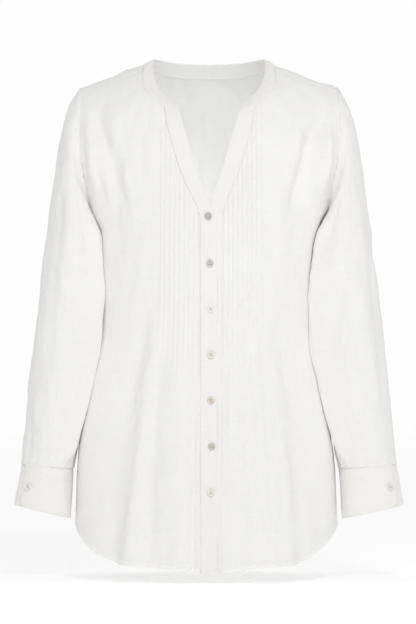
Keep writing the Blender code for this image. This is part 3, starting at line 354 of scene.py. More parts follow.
def ring_points(ring, turns, bulge):
    """Points round one ring of the sleeve, turns in radians from the outer line towards the front."""
    outer_x, outer_z, inner_x, inner_z, depth, y = ring
    middle = np.array([(outer_x + inner_x) / 2, y, (outer_z + inner_z) / 2])
    half = np.array([(outer_x - inner_x) / 2, 0, (outer_z - inner_z) / 2])
    forward = np.array([0, -depth, 0])
    points = middle + np.cos(turns)[:, None] * half + np.sin(turns)[:, None] * forward
    points[:, 0] += bulge * np.sin(turns) ** 2
    return points


def fold_depths(folds, x, z):
    """How far the folds move the cloth in or out, at points seen at x and z."""
    moved = np.zeros(np.broadcast(x, z).shape)
    for fold in folds:
        share = (fold.top_z - z) / (fold.top_z - fold.low_z)
        line = fold.top_x + (fold.low_x - fold.top_x) * share + 4 * fold.bow * share * (1 - share)
        strength = ease(share / FOLD_START)
        if fold.low_z > HEM_LINE:
            strength = strength * ease((1 - share) / FOLD_END)
        moved += fold.depth * strength * np.exp(-(((x - line) / fold.half_width) ** 2))
    return moved


FULL_DEPTH = 0.0095
FULL_TURN = 0.74  # the body's own angle where a front is fullest
FULL_SPREAD = 0.12
FULL_TOP = -0.180
FULL_FOOT = -0.720
CALM_TURN = 0.76  # where a front stays smooth, because the sleeve presses on it
CALM_SPREAD = 0.13


def fullness(turns, z):
    """How far the side of a front fills out before the arm, so that the sleeve lies against it."""
    height = ease((FULL_TOP - z) / 0.05) * ease((z - FULL_FOOT) / 0.17)
    return FULL_DEPTH * np.exp(-(((turns - FULL_TURN) / FULL_SPREAD) ** 2)) * height


Crumple = namedtuple("Crumple", "across along size")
CRUMPLE_WAVES = 22
FRONT_CRUMPLES = (Crumple(0.050, 0.210, 0.0008), Crumple(0.020, 0.070, 0.0003))


def crumple(points, seed, across, along, size):
    """Small soft unevenness of worn cloth: slow random waves, longer down it than across it."""
    random = np.random.default_rng(seed)
    moved = np.zeros(points.shape[:-1])
    for _ in range(CRUMPLE_WAVES):
        heading = random.uniform(0, 2 * math.pi)
        length = across * random.uniform(0.6, 1.8)
        drop = along * random.uniform(0.6, 1.8) * random.choice([-1, 1])
        reach = points[..., 0] * math.cos(heading) + points[..., 1] * math.sin(heading)
        phase = random.uniform(0, 2 * math.pi)
        moved += np.sin(2 * math.pi * (reach / length + points[..., 2] / drop) + phase)
    return moved * size / math.sqrt(CRUMPLE_WAVES / 2)


def worn(points, seeds, crumples):
    """The slow and the quick crumple of a worn piece together."""
    slow, quick = (crumple(points, seed, *kind) for seed, kind in zip(seeds, crumples))
    return slow + quick


def grid_normals(points, outward):
    """Unit normals of a grid of points, on the side of the direction outward."""
    normals = unit(np.cross(np.gradient(points, axis=0), np.gradient(points, axis=1)))
    return normals if (normals * outward).sum() > 0 else -normals


def away_from_middle(points):
    """Rough outward direction of a piece of the body, from an upright line through its middle."""
    return points * np.array([1.0, 1.0, 0.15])


def turned_to(grid, edge):
    """The grid with one of its edges brought to the end of the first axis."""
    if edge in ("first", "last"):
        grid = grid.swapaxes(0, 1)
    return grid[::-1] if edge in ("top", "first") else grid


def turned_back(grid, edge):
    """A grid from turned_to, laid as it was before."""
    grid = grid[::-1] if edge in ("top", "first") else grid
    return grid.swapaxes(0, 1) if edge in ("first", "last") else grid


def refine(grid, edge, take, levels):
    """Replaces the last rows before an edge by rows at set distances from it, in every channel."""
    facing = turned_to(grid, edge)
    tail = facing[-take - 1 :][::-1]
    steps = np.linalg.norm(np.diff(tail[..., :3], axis=0), axis=2)
    gone = np.concatenate([np.zeros((1, steps.shape[1])), np.cumsum(steps, axis=0)])
    rows = []
    for level in levels:
        at = np.minimum(level, gone[-1] * 0.97)
        row = tail[0].copy()
        for k in range(take):
            inside = (at >= gone[k]) & (at <= gone[k + 1])
            share = np.clip((at - gone[k]) / np.maximum(gone[k + 1] - gone[k], 1e-9), 0, 1)[:, None]
            row = np.where(inside[:, None], tail[k] + (tail[k + 1] - tail[k]) * share, row)
        rows.append(row)
    made = np.concatenate([facing[:-take], np.array(rows), facing[-1:]])
    return turned_back(made, edge)


def from_edge(points, edge):
    """Distance of each point of a grid from one of its edges, along the cloth."""
    facing = turned_to(points, edge)
    steps = np.linalg.norm(np.diff(facing[..., :3], axis=0), axis=2)
    gone = np.concatenate([np.cumsum(steps[::-1], axis=0)[::-1], np.zeros((1, facing.shape[1]))])
    return turned_back(gone, edge)


def nearer_edge(points, one, other):
    """Distance of each point of a grid from the nearer of two of its edges."""
    return np.minimum(from_edge(points, one), from_edge(points, other))


def hem_relief(distance):
    """Height of the turned hem over the single cloth, with its row of stitches drawn in."""
    ply = ease((HEM_TURN + 0.0004 - distance) / 0.0010) * ease(distance / 0.0008)
    return HEM_RISE * ply - HEM_DENT * np.exp(-(((distance - HEM_STITCH) / 0.0007) ** 2))


def seam_relief(distance):
    """The cloth dips towards a seam."""
    return -SEAM_DIP * np.exp(-((distance / 0.0012) ** 2))


def hem_stitch_row(to_hem):
    """The row of a grid that lies on the stitching line of the hem."""
    return int(np.argmin(np.abs(to_hem[:, 0] - HEM_STITCH)))


def pucker(along_arm, to_side):
    """Small puckers along the armhole seam, which fade into the body."""
    waves = np.sin(along_arm / 0.0026 + 2 * np.sin(along_arm / 0.017))
    return PUCKER * waves * np.exp(-to_side / PUCKER_REACH)


def leaned(points):
    """Moves points sideways with the lower half of the blouse, but not at the middle or past the sleeves."""
    points = np.array(points, float)
    away = np.abs(points[..., 0])
    part = np.minimum(away / LEAN_FULL_X, 1.0) ** 2 * (1 - ease((away - LEAN_STOP_X) / LEAN_FADE))
    points[..., 0] += lean(points[..., 2]) * part
    return points


GRAIN_TURNS = np.linspace(0, 1, 61)
GRAIN_HEIGHTS = np.linspace(-0.78, 0.02, 81)


def grain_table(behind):
    """Length of cloth round the plain body from its middle and down from its top, at turns and heights."""
    turns, heights = np.meshgrid(GRAIN_TURNS, GRAIN_HEIGHTS)
    points = body_point(turns, np.minimum(heights, ridge(half_width(heights) * turns) - 0.001), behind)
    round_it = np.linalg.norm(np.diff(points, axis=1), axis=2)
    down_it = np.linalg.norm(np.diff(points, axis=0)[..., 1:], axis=2)
    across = np.concatenate([np.zeros((len(points), 1)), np.cumsum(round_it, axis=1)], axis=1)
    down = np.concatenate([np.zeros((1, points.shape[1])), np.cumsum(down_it, axis=0)])
    return across, down


def between(table, i, j):
    """What a table says at row and column numbers that may lie between its own."""
    a = np.minimum(i.astype(int), table.shape[0] - 2)
    b = np.minimum(j.astype(int), table.shape[1] - 2)
    u, v = i - a, j - b
    low = table[a, b] * (1 - v) + table[a, b + 1] * v
    return low * (1 - u) + (table[a + 1, b] * (1 - v) + table[a + 1, b + 1] * v) * u


def table_at(table, turns, heights):
    rows, columns = table.shape
    i = np.clip(np.interp(heights, GRAIN_HEIGHTS, np.arange(rows)), 0, rows - 1.001)
    j = np.clip(np.interp(turns, GRAIN_TURNS, np.arange(columns)), 0, columns - 1.001)
    return between(table, i, j)


def body_grain(points, behind=False):
    """Where each point of a body piece lies in the flat cloth, in metres, its threads upright and level."""
    across, down = grain_table(behind)
    turns = turn_of(points[..., 0], points[..., 2])
    sign = np.where(points[..., 0] < 0, -1.0, 1.0)
    return np.stack(
        [sign * table_at(across, turns, points[..., 2]), table_at(down, turns, points[..., 2])], axis=-1
    )


def band_grain(points):
    """Where each point of a strip or band lies in its flat cloth, along and across it."""
    steps = np.linalg.norm(np.diff(points, axis=1), axis=2).mean(axis=0)
    across = np.concatenate([[0], np.cumsum(steps)])
    steps = np.linalg.norm(np.diff(points, axis=0), axis=2).mean(axis=1)
    down = np.concatenate([[0], np.cumsum(steps)])
    return np.stack(np.broadcast_arrays(across[None, :], -down[:, None]), axis=-1)


def placed(name, data):
    """An object in the scene with this mesh, lamp or camera."""
    made = bpy.data.objects.new(name, data)
    bpy.context.scene.collection.objects.link(made)
    return made


STRIDE = 1000  # more than the columns of any grid, so row and column fit in one number


def cloth_object(name, outer, inner, materials, grain, double=None, closed=False):
    """A thin closed shell between two grids; where double is true its faces take the second material."""
    rows, columns = outer.shape[:2]
    across = columns if closed else columns - 1
    number = np.arange(rows * columns).reshape(rows, columns)
    i, j = np.meshgrid(np.arange(rows - 1), np.arange(across), indexing="ij")
    i, j = i.ravel(), j.ravel()
    k = (j + 1) % columns
    face = np.stack([number[i, j], number[i, k], number[i + 1, k], number[i + 1, j]], axis=1)
    spot = i * STRIDE + j
    place = np.stack([spot, spot + 1, spot + STRIDE + 1, spot + STRIDE], axis=1)
    shift = rows * columns
    quads = [face, face[:, ::-1] + shift]
    places = [place, place[:, ::-1]]
    rims = []
    for c in range(across):
        rims.append(((0, c + 1), (0, c)))
        rims.append(((rows - 1, c), (rows - 1, c + 1)))
    if not closed:
        for r in range(rows - 1):
            rims.append(((r, 0), (r + 1, 0)))
            rims.append(((r + 1, columns - 1), (r, columns - 1)))
    first = np.array([number[a[0], a[1] % columns] for a, _ in rims])
    second = np.array([number[b[0], b[1] % columns] for _, b in rims])
    here = np.array([a[0] * STRIDE + a[1] for a, _ in rims])
    there = np.array([b[0] * STRIDE + b[1] for _, b in rims])
    quads.append(np.stack([first, second, second + shift, first + shift], axis=1))
    places.append(np.stack([here, there, there, here], axis=1))
    quads = np.concatenate(quads)
    places = np.concatenate(places)
    points = leaned(np.concatenate([outer.reshape(-1, 3), inner.reshape(-1, 3)]))
    a, b, c, d = (points[quads[:, n]] for n in range(4))
    if (np.cross(b - a, c - a) * a).sum() + (np.cross(c - a, d - a) * a).sum() < 0:
        quads = quads[:, ::-1]
        places = places[:, ::-1]
    mesh = bpy.data.meshes.new(name)
    mesh.vertices.add(len(points))
    mesh.vertices.foreach_set("co", points.ravel())
    mesh.loops.add(quads.size)
    mesh.loops.foreach_set("vertex_index", quads.ravel().astype(np.int32))
    mesh.polygons.add(len(quads))
    mesh.polygons.foreach_set("loop_start", np.arange(0, quads.size, 4, dtype=np.int32))
    uv = mesh.uv_layers.new(name="grain")
    uv.data.foreach_set("uv", grain[places.ravel() // STRIDE, places.ravel() % STRIDE].ravel())
    for made in materials:
        mesh.materials.append(made)
    if double is not None:
        marks = np.zeros(len(quads), np.int32)
        corner = places.min(axis=1)
        marks[double[np.minimum(corner // STRIDE, rows - 2), np.minimum(corner % STRIDE, columns - 2)]] = 1
        mesh.polygons.foreach_set("material_index", marks)
    mesh.update(calc_edges=True)
    mesh.validate()
    mesh.shade_smooth()
    mesh.set_sharp_from_angle(angle=math.radians(60))
    return placed(name, mesh)


def set_inputs(node, inputs):
    for name, value in inputs.items():
        node.inputs[name].default_value = value


def new_material(name, inputs):
    """A material, its nodes and its main shader with these inputs."""
    made = bpy.data.materials.new(name)
    made.use_nodes = True
    shader = made.node_tree.nodes["Principled BSDF"]
    set_inputs(shader, inputs)
    return made, made.node_tree, shader


def added(tree, kind, inputs, **settings):
    """A new node of this kind, with its own settings and its inputs by name or number."""
    node = tree.nodes.new(kind)
    for name, value in settings.items():
        setattr(node, name, value)
    set_inputs(node, inputs)
    return node


def link(tree, source, output, target, slot):
    tree.links.new(source.outputs[output], target.inputs[slot])


def streaks(tree, grain, across, down, seed):
    """Noise drawn out along one thread direction of the cloth, its features per metre across and down."""
    start = (seed * 3.7, seed * 5.3, seed * 1.9)
    place = added(tree, "ShaderNodeMapping", {"Location": start, "Scale": (across, down, 1.0)})
    link(tree, grain, "UV", place, "Vector")
    noise = added(tree, "ShaderNodeTexNoise", {"Scale": 1.0, "Detail": 1.5, "Roughness": 0.5})
    link(tree, place, "Vector", noise, "Vector")
    return noise


def colour_between(tree, value, span, first, last, shader):
    """Colours a shader from first to last while a value runs over its span."""
    ends = {7: (span[0],) * 3, 8: (span[1],) * 3, 9: first, 10: last}
    colour = added(tree, "ShaderNodeMapRange", ends, data_type="FLOAT_VECTOR")
    link(tree, value, 0, colour, 6)
    link(tree, colour, 1, shader, "Base Color")


def voile(name, thin, thick, slub, seed):
    """Plain-woven linen and cotton: fine uneven threads both ways, with a thicker slub here and there."""
    made, tree, shader = new_material(
        name, {"Metallic": 0.0, "Specular IOR Level": 0.25, "Sheen Weight": 0.08, "Sheen Roughness": 0.45}
    )
    grain = added(tree, "ShaderNodeUVMap", {}, uv_map="grain")
    weft = streaks(tree, grain, 60.0, 2100.0, seed)
    warp = streaks(tree, grain, 2300.0, 45.0, seed + 1)
    weft_slub = streaks(tree, grain, 16.0, 620.0, seed + 2)
    warp_slub = streaks(tree, grain, 680.0, 11.0, seed + 3)
    cloud = streaks(tree, grain, 9.0, 7.0, seed + 4)

    def mixed(a, b, mode, share=0.0):
        node = added(tree, "ShaderNodeMath", {1: share}, operation=mode)
        link(tree, a, 0, node, 0)
        if b:
            link(tree, b, 0, node, 1)
        return node

    def only_thick(noise, low, high):
        node = added(tree, "ShaderNodeMapRange", {"From Min": low, "From Max": high})
        link(tree, noise, "Fac", node, "Value")
        return node

    threads = mixed(weft, warp, "ADD")
    slubs = mixed(only_thick(weft_slub, 0.58, 0.72), only_thick(warp_slub, 0.60, 0.74), "MAXIMUM")
    shown = mixed(mixed(threads, None, "MULTIPLY", 0.22), mixed(slubs, None, "MULTIPLY", slub), "ADD")
    toned = mixed(shown, mixed(cloud, None, "MULTIPLY", 0.55), "ADD")
    colour_between(tree, toned, (0.35, 0.95), thin, thick, shader)
    rough = added(tree, "ShaderNodeMapRange", {"To Min": 0.92, "To Max": 0.76})
    link(tree, shown, 0, rough, "Value")
    link(tree, rough, 0, shader, "Roughness")
    bump = added(tree, "ShaderNodeBump", {"Strength": 0.5, "Distance": 0.00035})
    link(tree, mixed(threads, mixed(slubs, None, "MULTIPLY", 1.3), "ADD"), 0, bump, "Height")
    link(tree, bump, "Normal", shader, "Normal")
    return made


single_cloth = voile("voile_single", (0.900, 0.894, 0.879), (0.960, 0.954, 0.939), 0.20, 1)
double_cloth = voile("voile_double", (0.905, 0.895, 0.870), (0.955, 0.945, 0.920), 0.14, 11)
# The hem voile is paler than the rest. Its two plies are denser, and a painted highlight stands in for the
# light that the curve of the hem catches.
hem_cloth_painted_highlight = voile("voile_hem_painted_highlight", (0.950, 0.943, 0.925), (0.985, 0.980, 0.965), 0.14, 21)

Row = namedtuple("Row", "points out")


def stitch_tree(thread):
    """Places one sewn stitch after another along every row of points."""
    tree = bpy.data.node_groups.new("stitches", "GeometryNodeTree")
    tree.interface.new_socket("Rows", in_out="INPUT", socket_type="NodeSocketGeometry")
    sizes = {"Pitch": STITCH_PITCH, "Stitch length": STITCH_LENGTH, "Thread width": THREAD_WIDTH}
    for name, size in sizes.items():
        socket = tree.interface.new_socket(name, in_out="INPUT", socket_type="NodeSocketFloat")
        socket.default_value = size
    tree.interface.new_socket("Stitches", in_out="OUTPUT", socket_type="NodeSocketGeometry")
    given = added(tree, "NodeGroupInput", {})
    result = added(tree, "NodeGroupOutput", {})
    curve = added(tree, "GeometryNodeMeshToCurve", {})
    spaced = added(tree, "GeometryNodeResampleCurve", {}, mode="LENGTH")
    tangent = added(tree, "GeometryNodeInputTangent", {})
    out = added(tree, "GeometryNodeInputNamedAttribute", {"Name": "out"}, data_type="FLOAT_VECTOR")
    along = added(tree, "FunctionNodeAxesToRotation", {}, primary_axis="X", secondary_axis="Z")
    ball = added(tree, "GeometryNodeMeshIcoSphere", {"Radius": 0.5, "Subdivisions": 1})
    size = added(tree, "ShaderNodeCombineXYZ", {})
    sewn = added(tree, "GeometryNodeInstanceOnPoints", {})
    real = added(tree, "GeometryNodeRealizeInstances", {})
    dressed = added(tree, "GeometryNodeSetMaterial", {"Material": thread})
    for source, output, target, slot in (
        (given, "Rows", curve, "Mesh"),
        (curve, "Curve", spaced, "Curve"),
        (given, "Pitch", spaced, "Length"),
        (given, "Stitch length", size, "X"),
        (given, "Thread width", size, "Y"),
        (given, "Thread width", size, "Z"),
        (tangent, "Tangent", along, "Primary Axis"),
        (out, "Attribute", along, "Secondary Axis"),
        (spaced, "Curve", sewn, "Points"),
        (ball, "Mesh", sewn, "Instance"),
        (along, "Rotation", sewn, "Rotation"),
        (size, "Vector", sewn, "Scale"),
        (sewn, "Instances", real, "Geometry"),
        (real, "Geometry", dressed, "Geometry"),
        (dressed, "Geometry", result, "Stitches"),
    ):
        link(tree, source, output, target, slot)
    return tree


def plain_thread():
    """Polyester-covered cotton thread, a little brighter and smoother than the cloth."""
    made, tree, shader = new_material("thread_white", {"Roughness": 0.55, "Sheen Weight": 0.1})
    place = added(tree, "ShaderNodeTexCoord", {})
    twist = added(tree, "ShaderNodeTexNoise", {"Scale": 1500.0})
    link(tree, place, "Object", twist, "Vector")
    tones = {6: (0.84, 0.835, 0.815, 1), 7: (0.93, 0.925, 0.905, 1)}
    tone = added(tree, "ShaderNodeMix", tones, data_type="RGBA")
    link(tree, twist, "Fac", tone, "Factor")
    link(tree, tone, 2, shader, "Base Color")
    return made


thread = plain_thread()
sewing = stitch_tree(thread)


def row_at(outer, normals, at, mirror=1.0):
    """A row of stitches along these points of a cloth's grid."""
    return Row((outer[at] + normals[at] * THREAD_LIFT) * mirror, normals[at] * mirror)


def stitches(name, rows, pitch=STITCH_PITCH, length=STITCH_LENGTH, width=THREAD_WIDTH):
    """Sews rows of stitches: each row is a line of points on the cloth with the directions out of it."""
    points = leaned(np.concatenate([row.points for row in rows]))
    out = np.concatenate([row.out for row in rows])
    edges = []
    start = 0
    for row in rows:
        edges += [(start + n, start + n + 1) for n in range(len(row.points) - 1)]
        start += len(row.points)
    mesh = bpy.data.meshes.new(name)
    mesh.from_pydata([tuple(p) for p in points], edges, [])
    attribute = mesh.attributes.new("out", "FLOAT_VECTOR", "POINT")
    attribute.data.foreach_set("vector", out.ravel())
    guide = placed(name + "_guide", mesh)
    maker = guide.modifiers.new("stitches", "NODES")
    maker.node_group = sewing
    sizes = {"Pitch": pitch, "Stitch length": length, "Thread width": width}
    for item in sewing.interface.items_tree:
        if item.in_out == "INPUT" and item.name in sizes:
            maker[item.identifier] = sizes[item.name]
    bpy.context.view_layer.update()
    evaluated = guide.evaluated_get(bpy.context.evaluated_depsgraph_get())
    made = placed(name, bpy.data.meshes.new_from_object(evaluated))
    bpy.data.objects.remove(guide)
    made.data.shade_smooth()
    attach(made, "root")
    return made


def outer_edge_z(strip, x):
    """Height of a front strip's outer edge over |x|, up the V."""
    upward = sorted({(abs(r.outer_x), r.outer_z) for r in strip if r.outer_z > V_FOOT})
    xs = [p[0] for p in upward]
    rising_xs = [xs[0] + 1e-5 * i if i and xs[i] <= xs[i - 1] else xs[i] for i in range(len(xs))]
    return through(rising_xs, [p[1] for p in upward])(x)


def front_columns(side):
    """Start, height and end of the tuck of each column of a front, and the columns of its plain solid."""
    strip = UPPER_STRIP if side < 0 else UNDER_STRIP
    corner = abs(strip[0].outer_x)
    columns = [(abs(strip[-1].outer_x), 0.0, TUCK_END_INNER), (corner, 0.0, TUCK_END_OUTER)]
    coarse = [columns[0][0], corner]
    for i in range(TUCKS):
        x = FIRST_TUCK[side] + i * TUCK_PITCH
        end = TUCK_END_INNER + (TUCK_END_OUTER - TUCK_END_INNER) * i / (TUCKS - 1)
        columns += [(x - p.inward, p.height, end) for p in TUCK if x - p.inward > columns[0][0] + 0.0002]
        coarse += [x - TUCK_STEEP, x]
    columns.sort()
    spaced = [columns[0]]
    for column in columns[1:]:
        if column[0] - spaced[-1][0] > COLUMN_GAP:
            spaced.append(column)
    return strip, corner, spaced, sorted(coarse)


def shoulder_seam():
    """Points of the forward shoulder seam, from the neck band to the armhole."""
    neck = SEAM_FRONT[0]
    tip = ring_points(SLEEVE[0], np.array([SEAM_TURN]), CAP_BULGE)[0]
    share = np.linspace(0, 1, SHOULDER_COLUMNS + 1)
    x = neck.x + (tip[0] - neck.x) * share
    below = (ridge(neck.x) - neck.z) * (1 - share) + (ridge(tip[0]) - tip[2]) * share
    points = front_at(x, ridge(x) - below)
    points[-1] = tip
    return points


def front_top(side):
    """Points of a front's upper edge, up the V, round the neck and along the shoulder, and its corners."""
    strip, corner, columns, _ = front_columns(side)
    up_the_v = [(x, float(outer_edge_z(strip, x))) for x, _, _ in columns if x <= corner]
    round_neck = [tuple(p) for p in SEAM_FRONT if p.x > corner + 0.003][::-1]
    curve = by_length([(corner, strip[0].outer_z), *round_neck])
    shares = np.linspace(0, 1, 2000)
    path = curve(shares)
    at_tucks = [shares[int(np.argmax(path[:, 0] >= x))] for x, _, _ in columns if x > corner]
    last = at_tucks[-1] if at_tucks else 0.0
    on_neck = at_tucks + [last + (1 - last) * i / NECK_COLUMNS for i in range(1, NECK_COLUMNS + 1)]
    seen = np.array(up_the_v + [tuple(curve(s)) for s in on_neck])
    points = np.concatenate([front_at(seen[:, 0], seen[:, 1]), shoulder_seam()[1:]])
    return points, len(up_the_v) - 1, len(seen) - 1


def front_grid(side):
    """One front as a grid: columns from the buttoned edge to the side seam, rows from the neck to the hem."""
    _, _, columns, coarse = front_columns(side)
    top, _, _ = front_top(side)
    count = len(top)
    tucked = len(columns)
    edge_x = columns[0][0]
    arm = ring_points(SLEEVE[0], np.linspace(SEAM_TURN, math.pi, FRONT_ARM_ROWS + 1), CAP_BULGE)
    side_z = np.linspace(arm[-1, 2], HEM_SIDE, SIDE_ROWS + 1)[1:]
    last_z = np.concatenate([arm[:, 2], side_z])
    rows = len(last_z)
    share = np.linspace(0, 1, rows)[:, None]
    share = share * 0.75 + 0.25 * (last_z[0] - last_z[:, None]) / (last_z[0] - last_z[-1])
    first_z = top[0, 2] + (HEM_FRONT - top[0, 2]) * share[:, 0]
    spread = (top[:, 0] - top[0, 0]) / (top[-1, 0] - top[0, 0])
    ruled = first_z[:, None] * (1 - spread) + last_z[:, None] * spread
    lift = top[:, 2] - ruled[0]
    z = ruled + lift * (1 - ease(share / 0.75)) ** 1.2

    last_turn = np.concatenate([turn_of(arm[:, 0], arm[:, 2]), np.ones(SIDE_ROWS)])
    last_turn[FRONT_ARM_ROWS] = 1.0
    turns = np.zeros((rows, count))
    for j in range(tucked):
        x, _, end = columns[j]
        wide_x = edge_x + (x - edge_x) * TUCK_SPREAD
        go = ease((end - z[:, j]) / (end - HEM_FRONT))
        turns[:, j] = turn_of(x, z[:, j]) * (1 - go) + turn_of(wide_x, z[:, j]) * go
    stay = 1 - ease(share[:, 0] / 0.30)
    for j in range(tucked, count):
        part = (j - tucked + 1) / (count - tucked)
        even = turns[:, tucked - 1] + (last_turn - turns[:, tucked - 1]) * part
        turns[:, j] = even * (1 - stay) + turn_of(top[j, 0], z[:, j]) * stay
    turns[:, -1] = last_turn
    z = drawn_to_hem(z, turns, share, HEM_FRONT)

    # Columns are counted as on the plain solid, where the outer ten share the way to the side seam
    own_x = np.array([c[0] for c in columns])
    outer = len(coarse) - 1 + np.arange(1, count - tucked + 1) / FINE_ACROSS
    place = np.concatenate([np.interp(own_x, coarse, np.arange(len(coarse))), outer])
    plain = body_point(turns, z)
    plain += (top - plain[0])[None] * ((1 - ease(share / 0.30)) ** 1.5)[..., None]
    settle = (place / place[-1]) ** ARM_PULL
    plain[: FRONT_ARM_ROWS + 1] += (arm - plain[: FRONT_ARM_ROWS + 1, -1])[:, None] * settle[None, :, None]

    normals = grid_normals(plain, away_from_middle(plain))
    quiet = ease((1 - turns) / SIDE_QUIET) * ease((plain[..., 0] - edge_x) / 0.010)
    quiet = quiet * ease((place[-1] - place) / 1.8)[None, :]
    plain += normals * (fold_depths(FRONT_FOLDS[side], plain[..., 0], z) * quiet)[..., None]
    plain += normals * fullness(turns, z)[..., None]

    # A tuck keeps its height to its end, and below that it is a soft wave that fades
    rise = np.zeros((rows, count))
    for j in range(tucked):
        x, height, end = columns[j]
        held = ease((z[:, j] - end) / 0.012)
        nearest = round((x - FIRST_TUCK[side] + TUCK_MIDDLE) / TUCK_PITCH)
        off = (x - (FIRST_TUCK[side] + nearest * TUCK_PITCH - TUCK_MIDDLE)) / TUCK_PITCH
        below = np.maximum(end - z[:, j], 0)
        wave = LOOSE_RISE + LOOSE_WAVE * math.cos(2 * math.pi * off)
        rise[:, j] = height * held + wave * (1 - held) * np.exp(-((below / TUCK_LET_GO) ** 1.5))
    rise *= ease((plain[..., 0] - edge_x) / 0.002)
    rise *= ease(from_edge(plain, "top") / 0.004)
    return np.concatenate([plain, rise[..., None]], axis=2)


def finished_front(side, name, label):
    """A front panel with its tucks, hem and seams, and its stitches."""
    grid = front_grid(side)
    grid = refine(grid, "low", 3, HEM_LEVELS)
    grid = refine(grid, "last", 1, SEAM_LEVELS)
    grid = refine(grid, "top", 1, SEAM_LEVELS)
    points = grid[..., :3]
    normals = grid_normals(points, away_from_middle(points))
    to_hem = from_edge(points, "low")
    to_side = from_edge(points, "last")
    to_top = from_edge(points, "top")
    from_strip = from_edge(points, "first")
    armhole = ease((points[..., 2] - ARMHOLE_FOOT) / 0.01)
    soft = worn(points, (20 + side, 30 + side), FRONT_CRUMPLES)
    calm = ease(to_top / 0.03) * ease(from_strip / 0.02) * ease(to_side / 0.02)
    above_end = ease((points[..., 2] - TUCK_END_INNER + 0.06) / 0.04)
    bib = above_end * ease((FIRST_TUCK[side] + BIB_WIDTH - points[..., 0]) / 0.02)
    calm *= 1 - 0.8 * bib
    turns = turn_of(points[..., 0], points[..., 2])
    calm *= 1 - np.exp(-(((turns - CALM_TURN) / CALM_SPREAD) ** 2))
    relief = grid[..., 3] + hem_relief(to_hem) + seam_relief(to_side) * (1 - 0.6 * armhole)
    relief += seam_relief(to_top)
    relief += soft * calm + pucker(to_top[:, -1:], to_side) * armhole
    outer = points + normals * relief[..., None]
    mirror = np.array([side, 1.0, 1.0])
    # The turned hem takes the paler hem voile: two plies, with a painted highlight on them
    double = to_hem[1:, 1:] < HEM_TURN
    inner = outer - normals * PLY
    cloths = (single_cloth, hem_cloth_painted_highlight)
    sheet = cloth_object(name, outer * mirror, inner * mirror, cloths, body_grain(points), double)
    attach(sheet, "root")
    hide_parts(label)

    # Stitches: the tucks, the hem, and two rows below the shoulder seam
    rows = [row_at(outer, normals, hem_stitch_row(to_hem), mirror)]
    _, _, columns, _ = front_columns(side)
    for i in range(TUCKS):
        x = FIRST_TUCK[side] + i * TUCK_PITCH - TUCK_STITCH
        j = int(np.argmin([abs(c[0] - x) for c in columns]))
        down = (to_top[:, j] > 0.004) & (points[:, j, 2] > columns[j][2])
        rows.append(row_at(outer, normals, (down, j), mirror))
    _, _, neck_end = front_top(side)
    for distance in SHOULDER_ROWS:
        level = np.argmin(np.abs(to_top[:, neck_end:] - distance), axis=0)
        columns_here = np.arange(neck_end, outer.shape[1])
        start = outer[0, columns_here]
        way = unit(outer[level + 2, columns_here] - start)
        line = start + way * distance + normals[level, columns_here] * 0.0003
        rows.append(Row(line[2:-4] * mirror, normals[level, columns_here][2:-4] * mirror))
    sewn = stitches(f"{name}_stitches", rows)


finished_front(-1, "front_panel_right", "front_right")
finished_front(1, "front_panel_left", "front_left")


# Back panel
# One panel of the same single voile, cut in one piece without a yoke, up over both shoulders to the
# forward seams. It hangs in a few soft folds from the neck and shoulders, and its hem matches the front's.

NeckPoint = namedtuple("NeckPoint", "x y z")
SEAM_BACK = (
    NeckPoint(0.0000, 0.0760, -0.0150),
    NeckPoint(0.0300, 0.0725, -0.0145),
    NeckPoint(0.0580, 0.0600, -0.0118),
    NeckPoint(0.0790, 0.0385, -0.0065),
    NeckPoint(0.0925, 0.0150, -0.0012),
)
NECK_CREST = 0.0985
BACK_FOLDS = (
    Fold(-0.062, -0.090, -0.105, HEM_LINE, 0.000, 0.017, -0.0065),
    Fold(-0.028, -0.060, -0.040, HEM_LINE, 0.000, 0.015, 0.0060),
    Fold(0.006, -0.070, 0.004, HEM_LINE, 0.000, 0.016, -0.0060),
    Fold(-0.014, -0.025, -0.017, -0.330, 0.000, 0.006, 0.0035),
    Fold(0.028, -0.025, 0.031, -0.300, 0.000, 0.005, 0.0032),
    Fold(0.040, -0.060, 0.052, HEM_LINE, 0.000, 0.016, 0.0060),
    Fold(0.074, -0.110, 0.112, HEM_LINE, 0.000, 0.018, -0.0070),
    Fold(-0.085, -0.300, -0.140, HEM_LINE, 0.000, 0.015, 0.0050),
    Fold(0.104, -0.330, 0.148, HEM_LINE, 0.000, 0.013, 0.0045),
    Fold(-0.150, -0.080, -0.120, -0.300, 0.000, 0.014, -0.0050),
    Fold(0.152, -0.090, 0.116, -0.310, 0.000, 0.013, -0.0050),
    Fold(-0.120, -0.260, -0.088, -0.620, 0.000, 0.010, -0.0025),
    Fold(0.126, -0.280, 0.086, -0.600, 0.000, 0.010, -0.0025),
)
BACK_CRUMPLES = (Crumple(0.055, 0.240, 0.0010), Crumple(0.022, 0.080, 0.0004))
BACK_FINE_ACROSS = 8
BACK_ARM_ROWS = 12 * FINE
BACK_NECK_COLUMNS = 7 * BACK_FINE_ACROSS


def back_top():
    """Points of the back's upper edge on one side: the neck, over the shoulder, and the shoulder seam."""
    crest = (NECK_CREST, 0.0, float(ridge(NECK_CREST)))
    seam = shoulder_seam()
    neck_line = by_length([*[tuple(p) for p in SEAM_BACK], crest, seam[0]])
    neck = neck_line(np.linspace(0, 1, BACK_NECK_COLUMNS + 1))
    neck[-1] = seam[0]
    return np.concatenate([neck, seam[1:]])


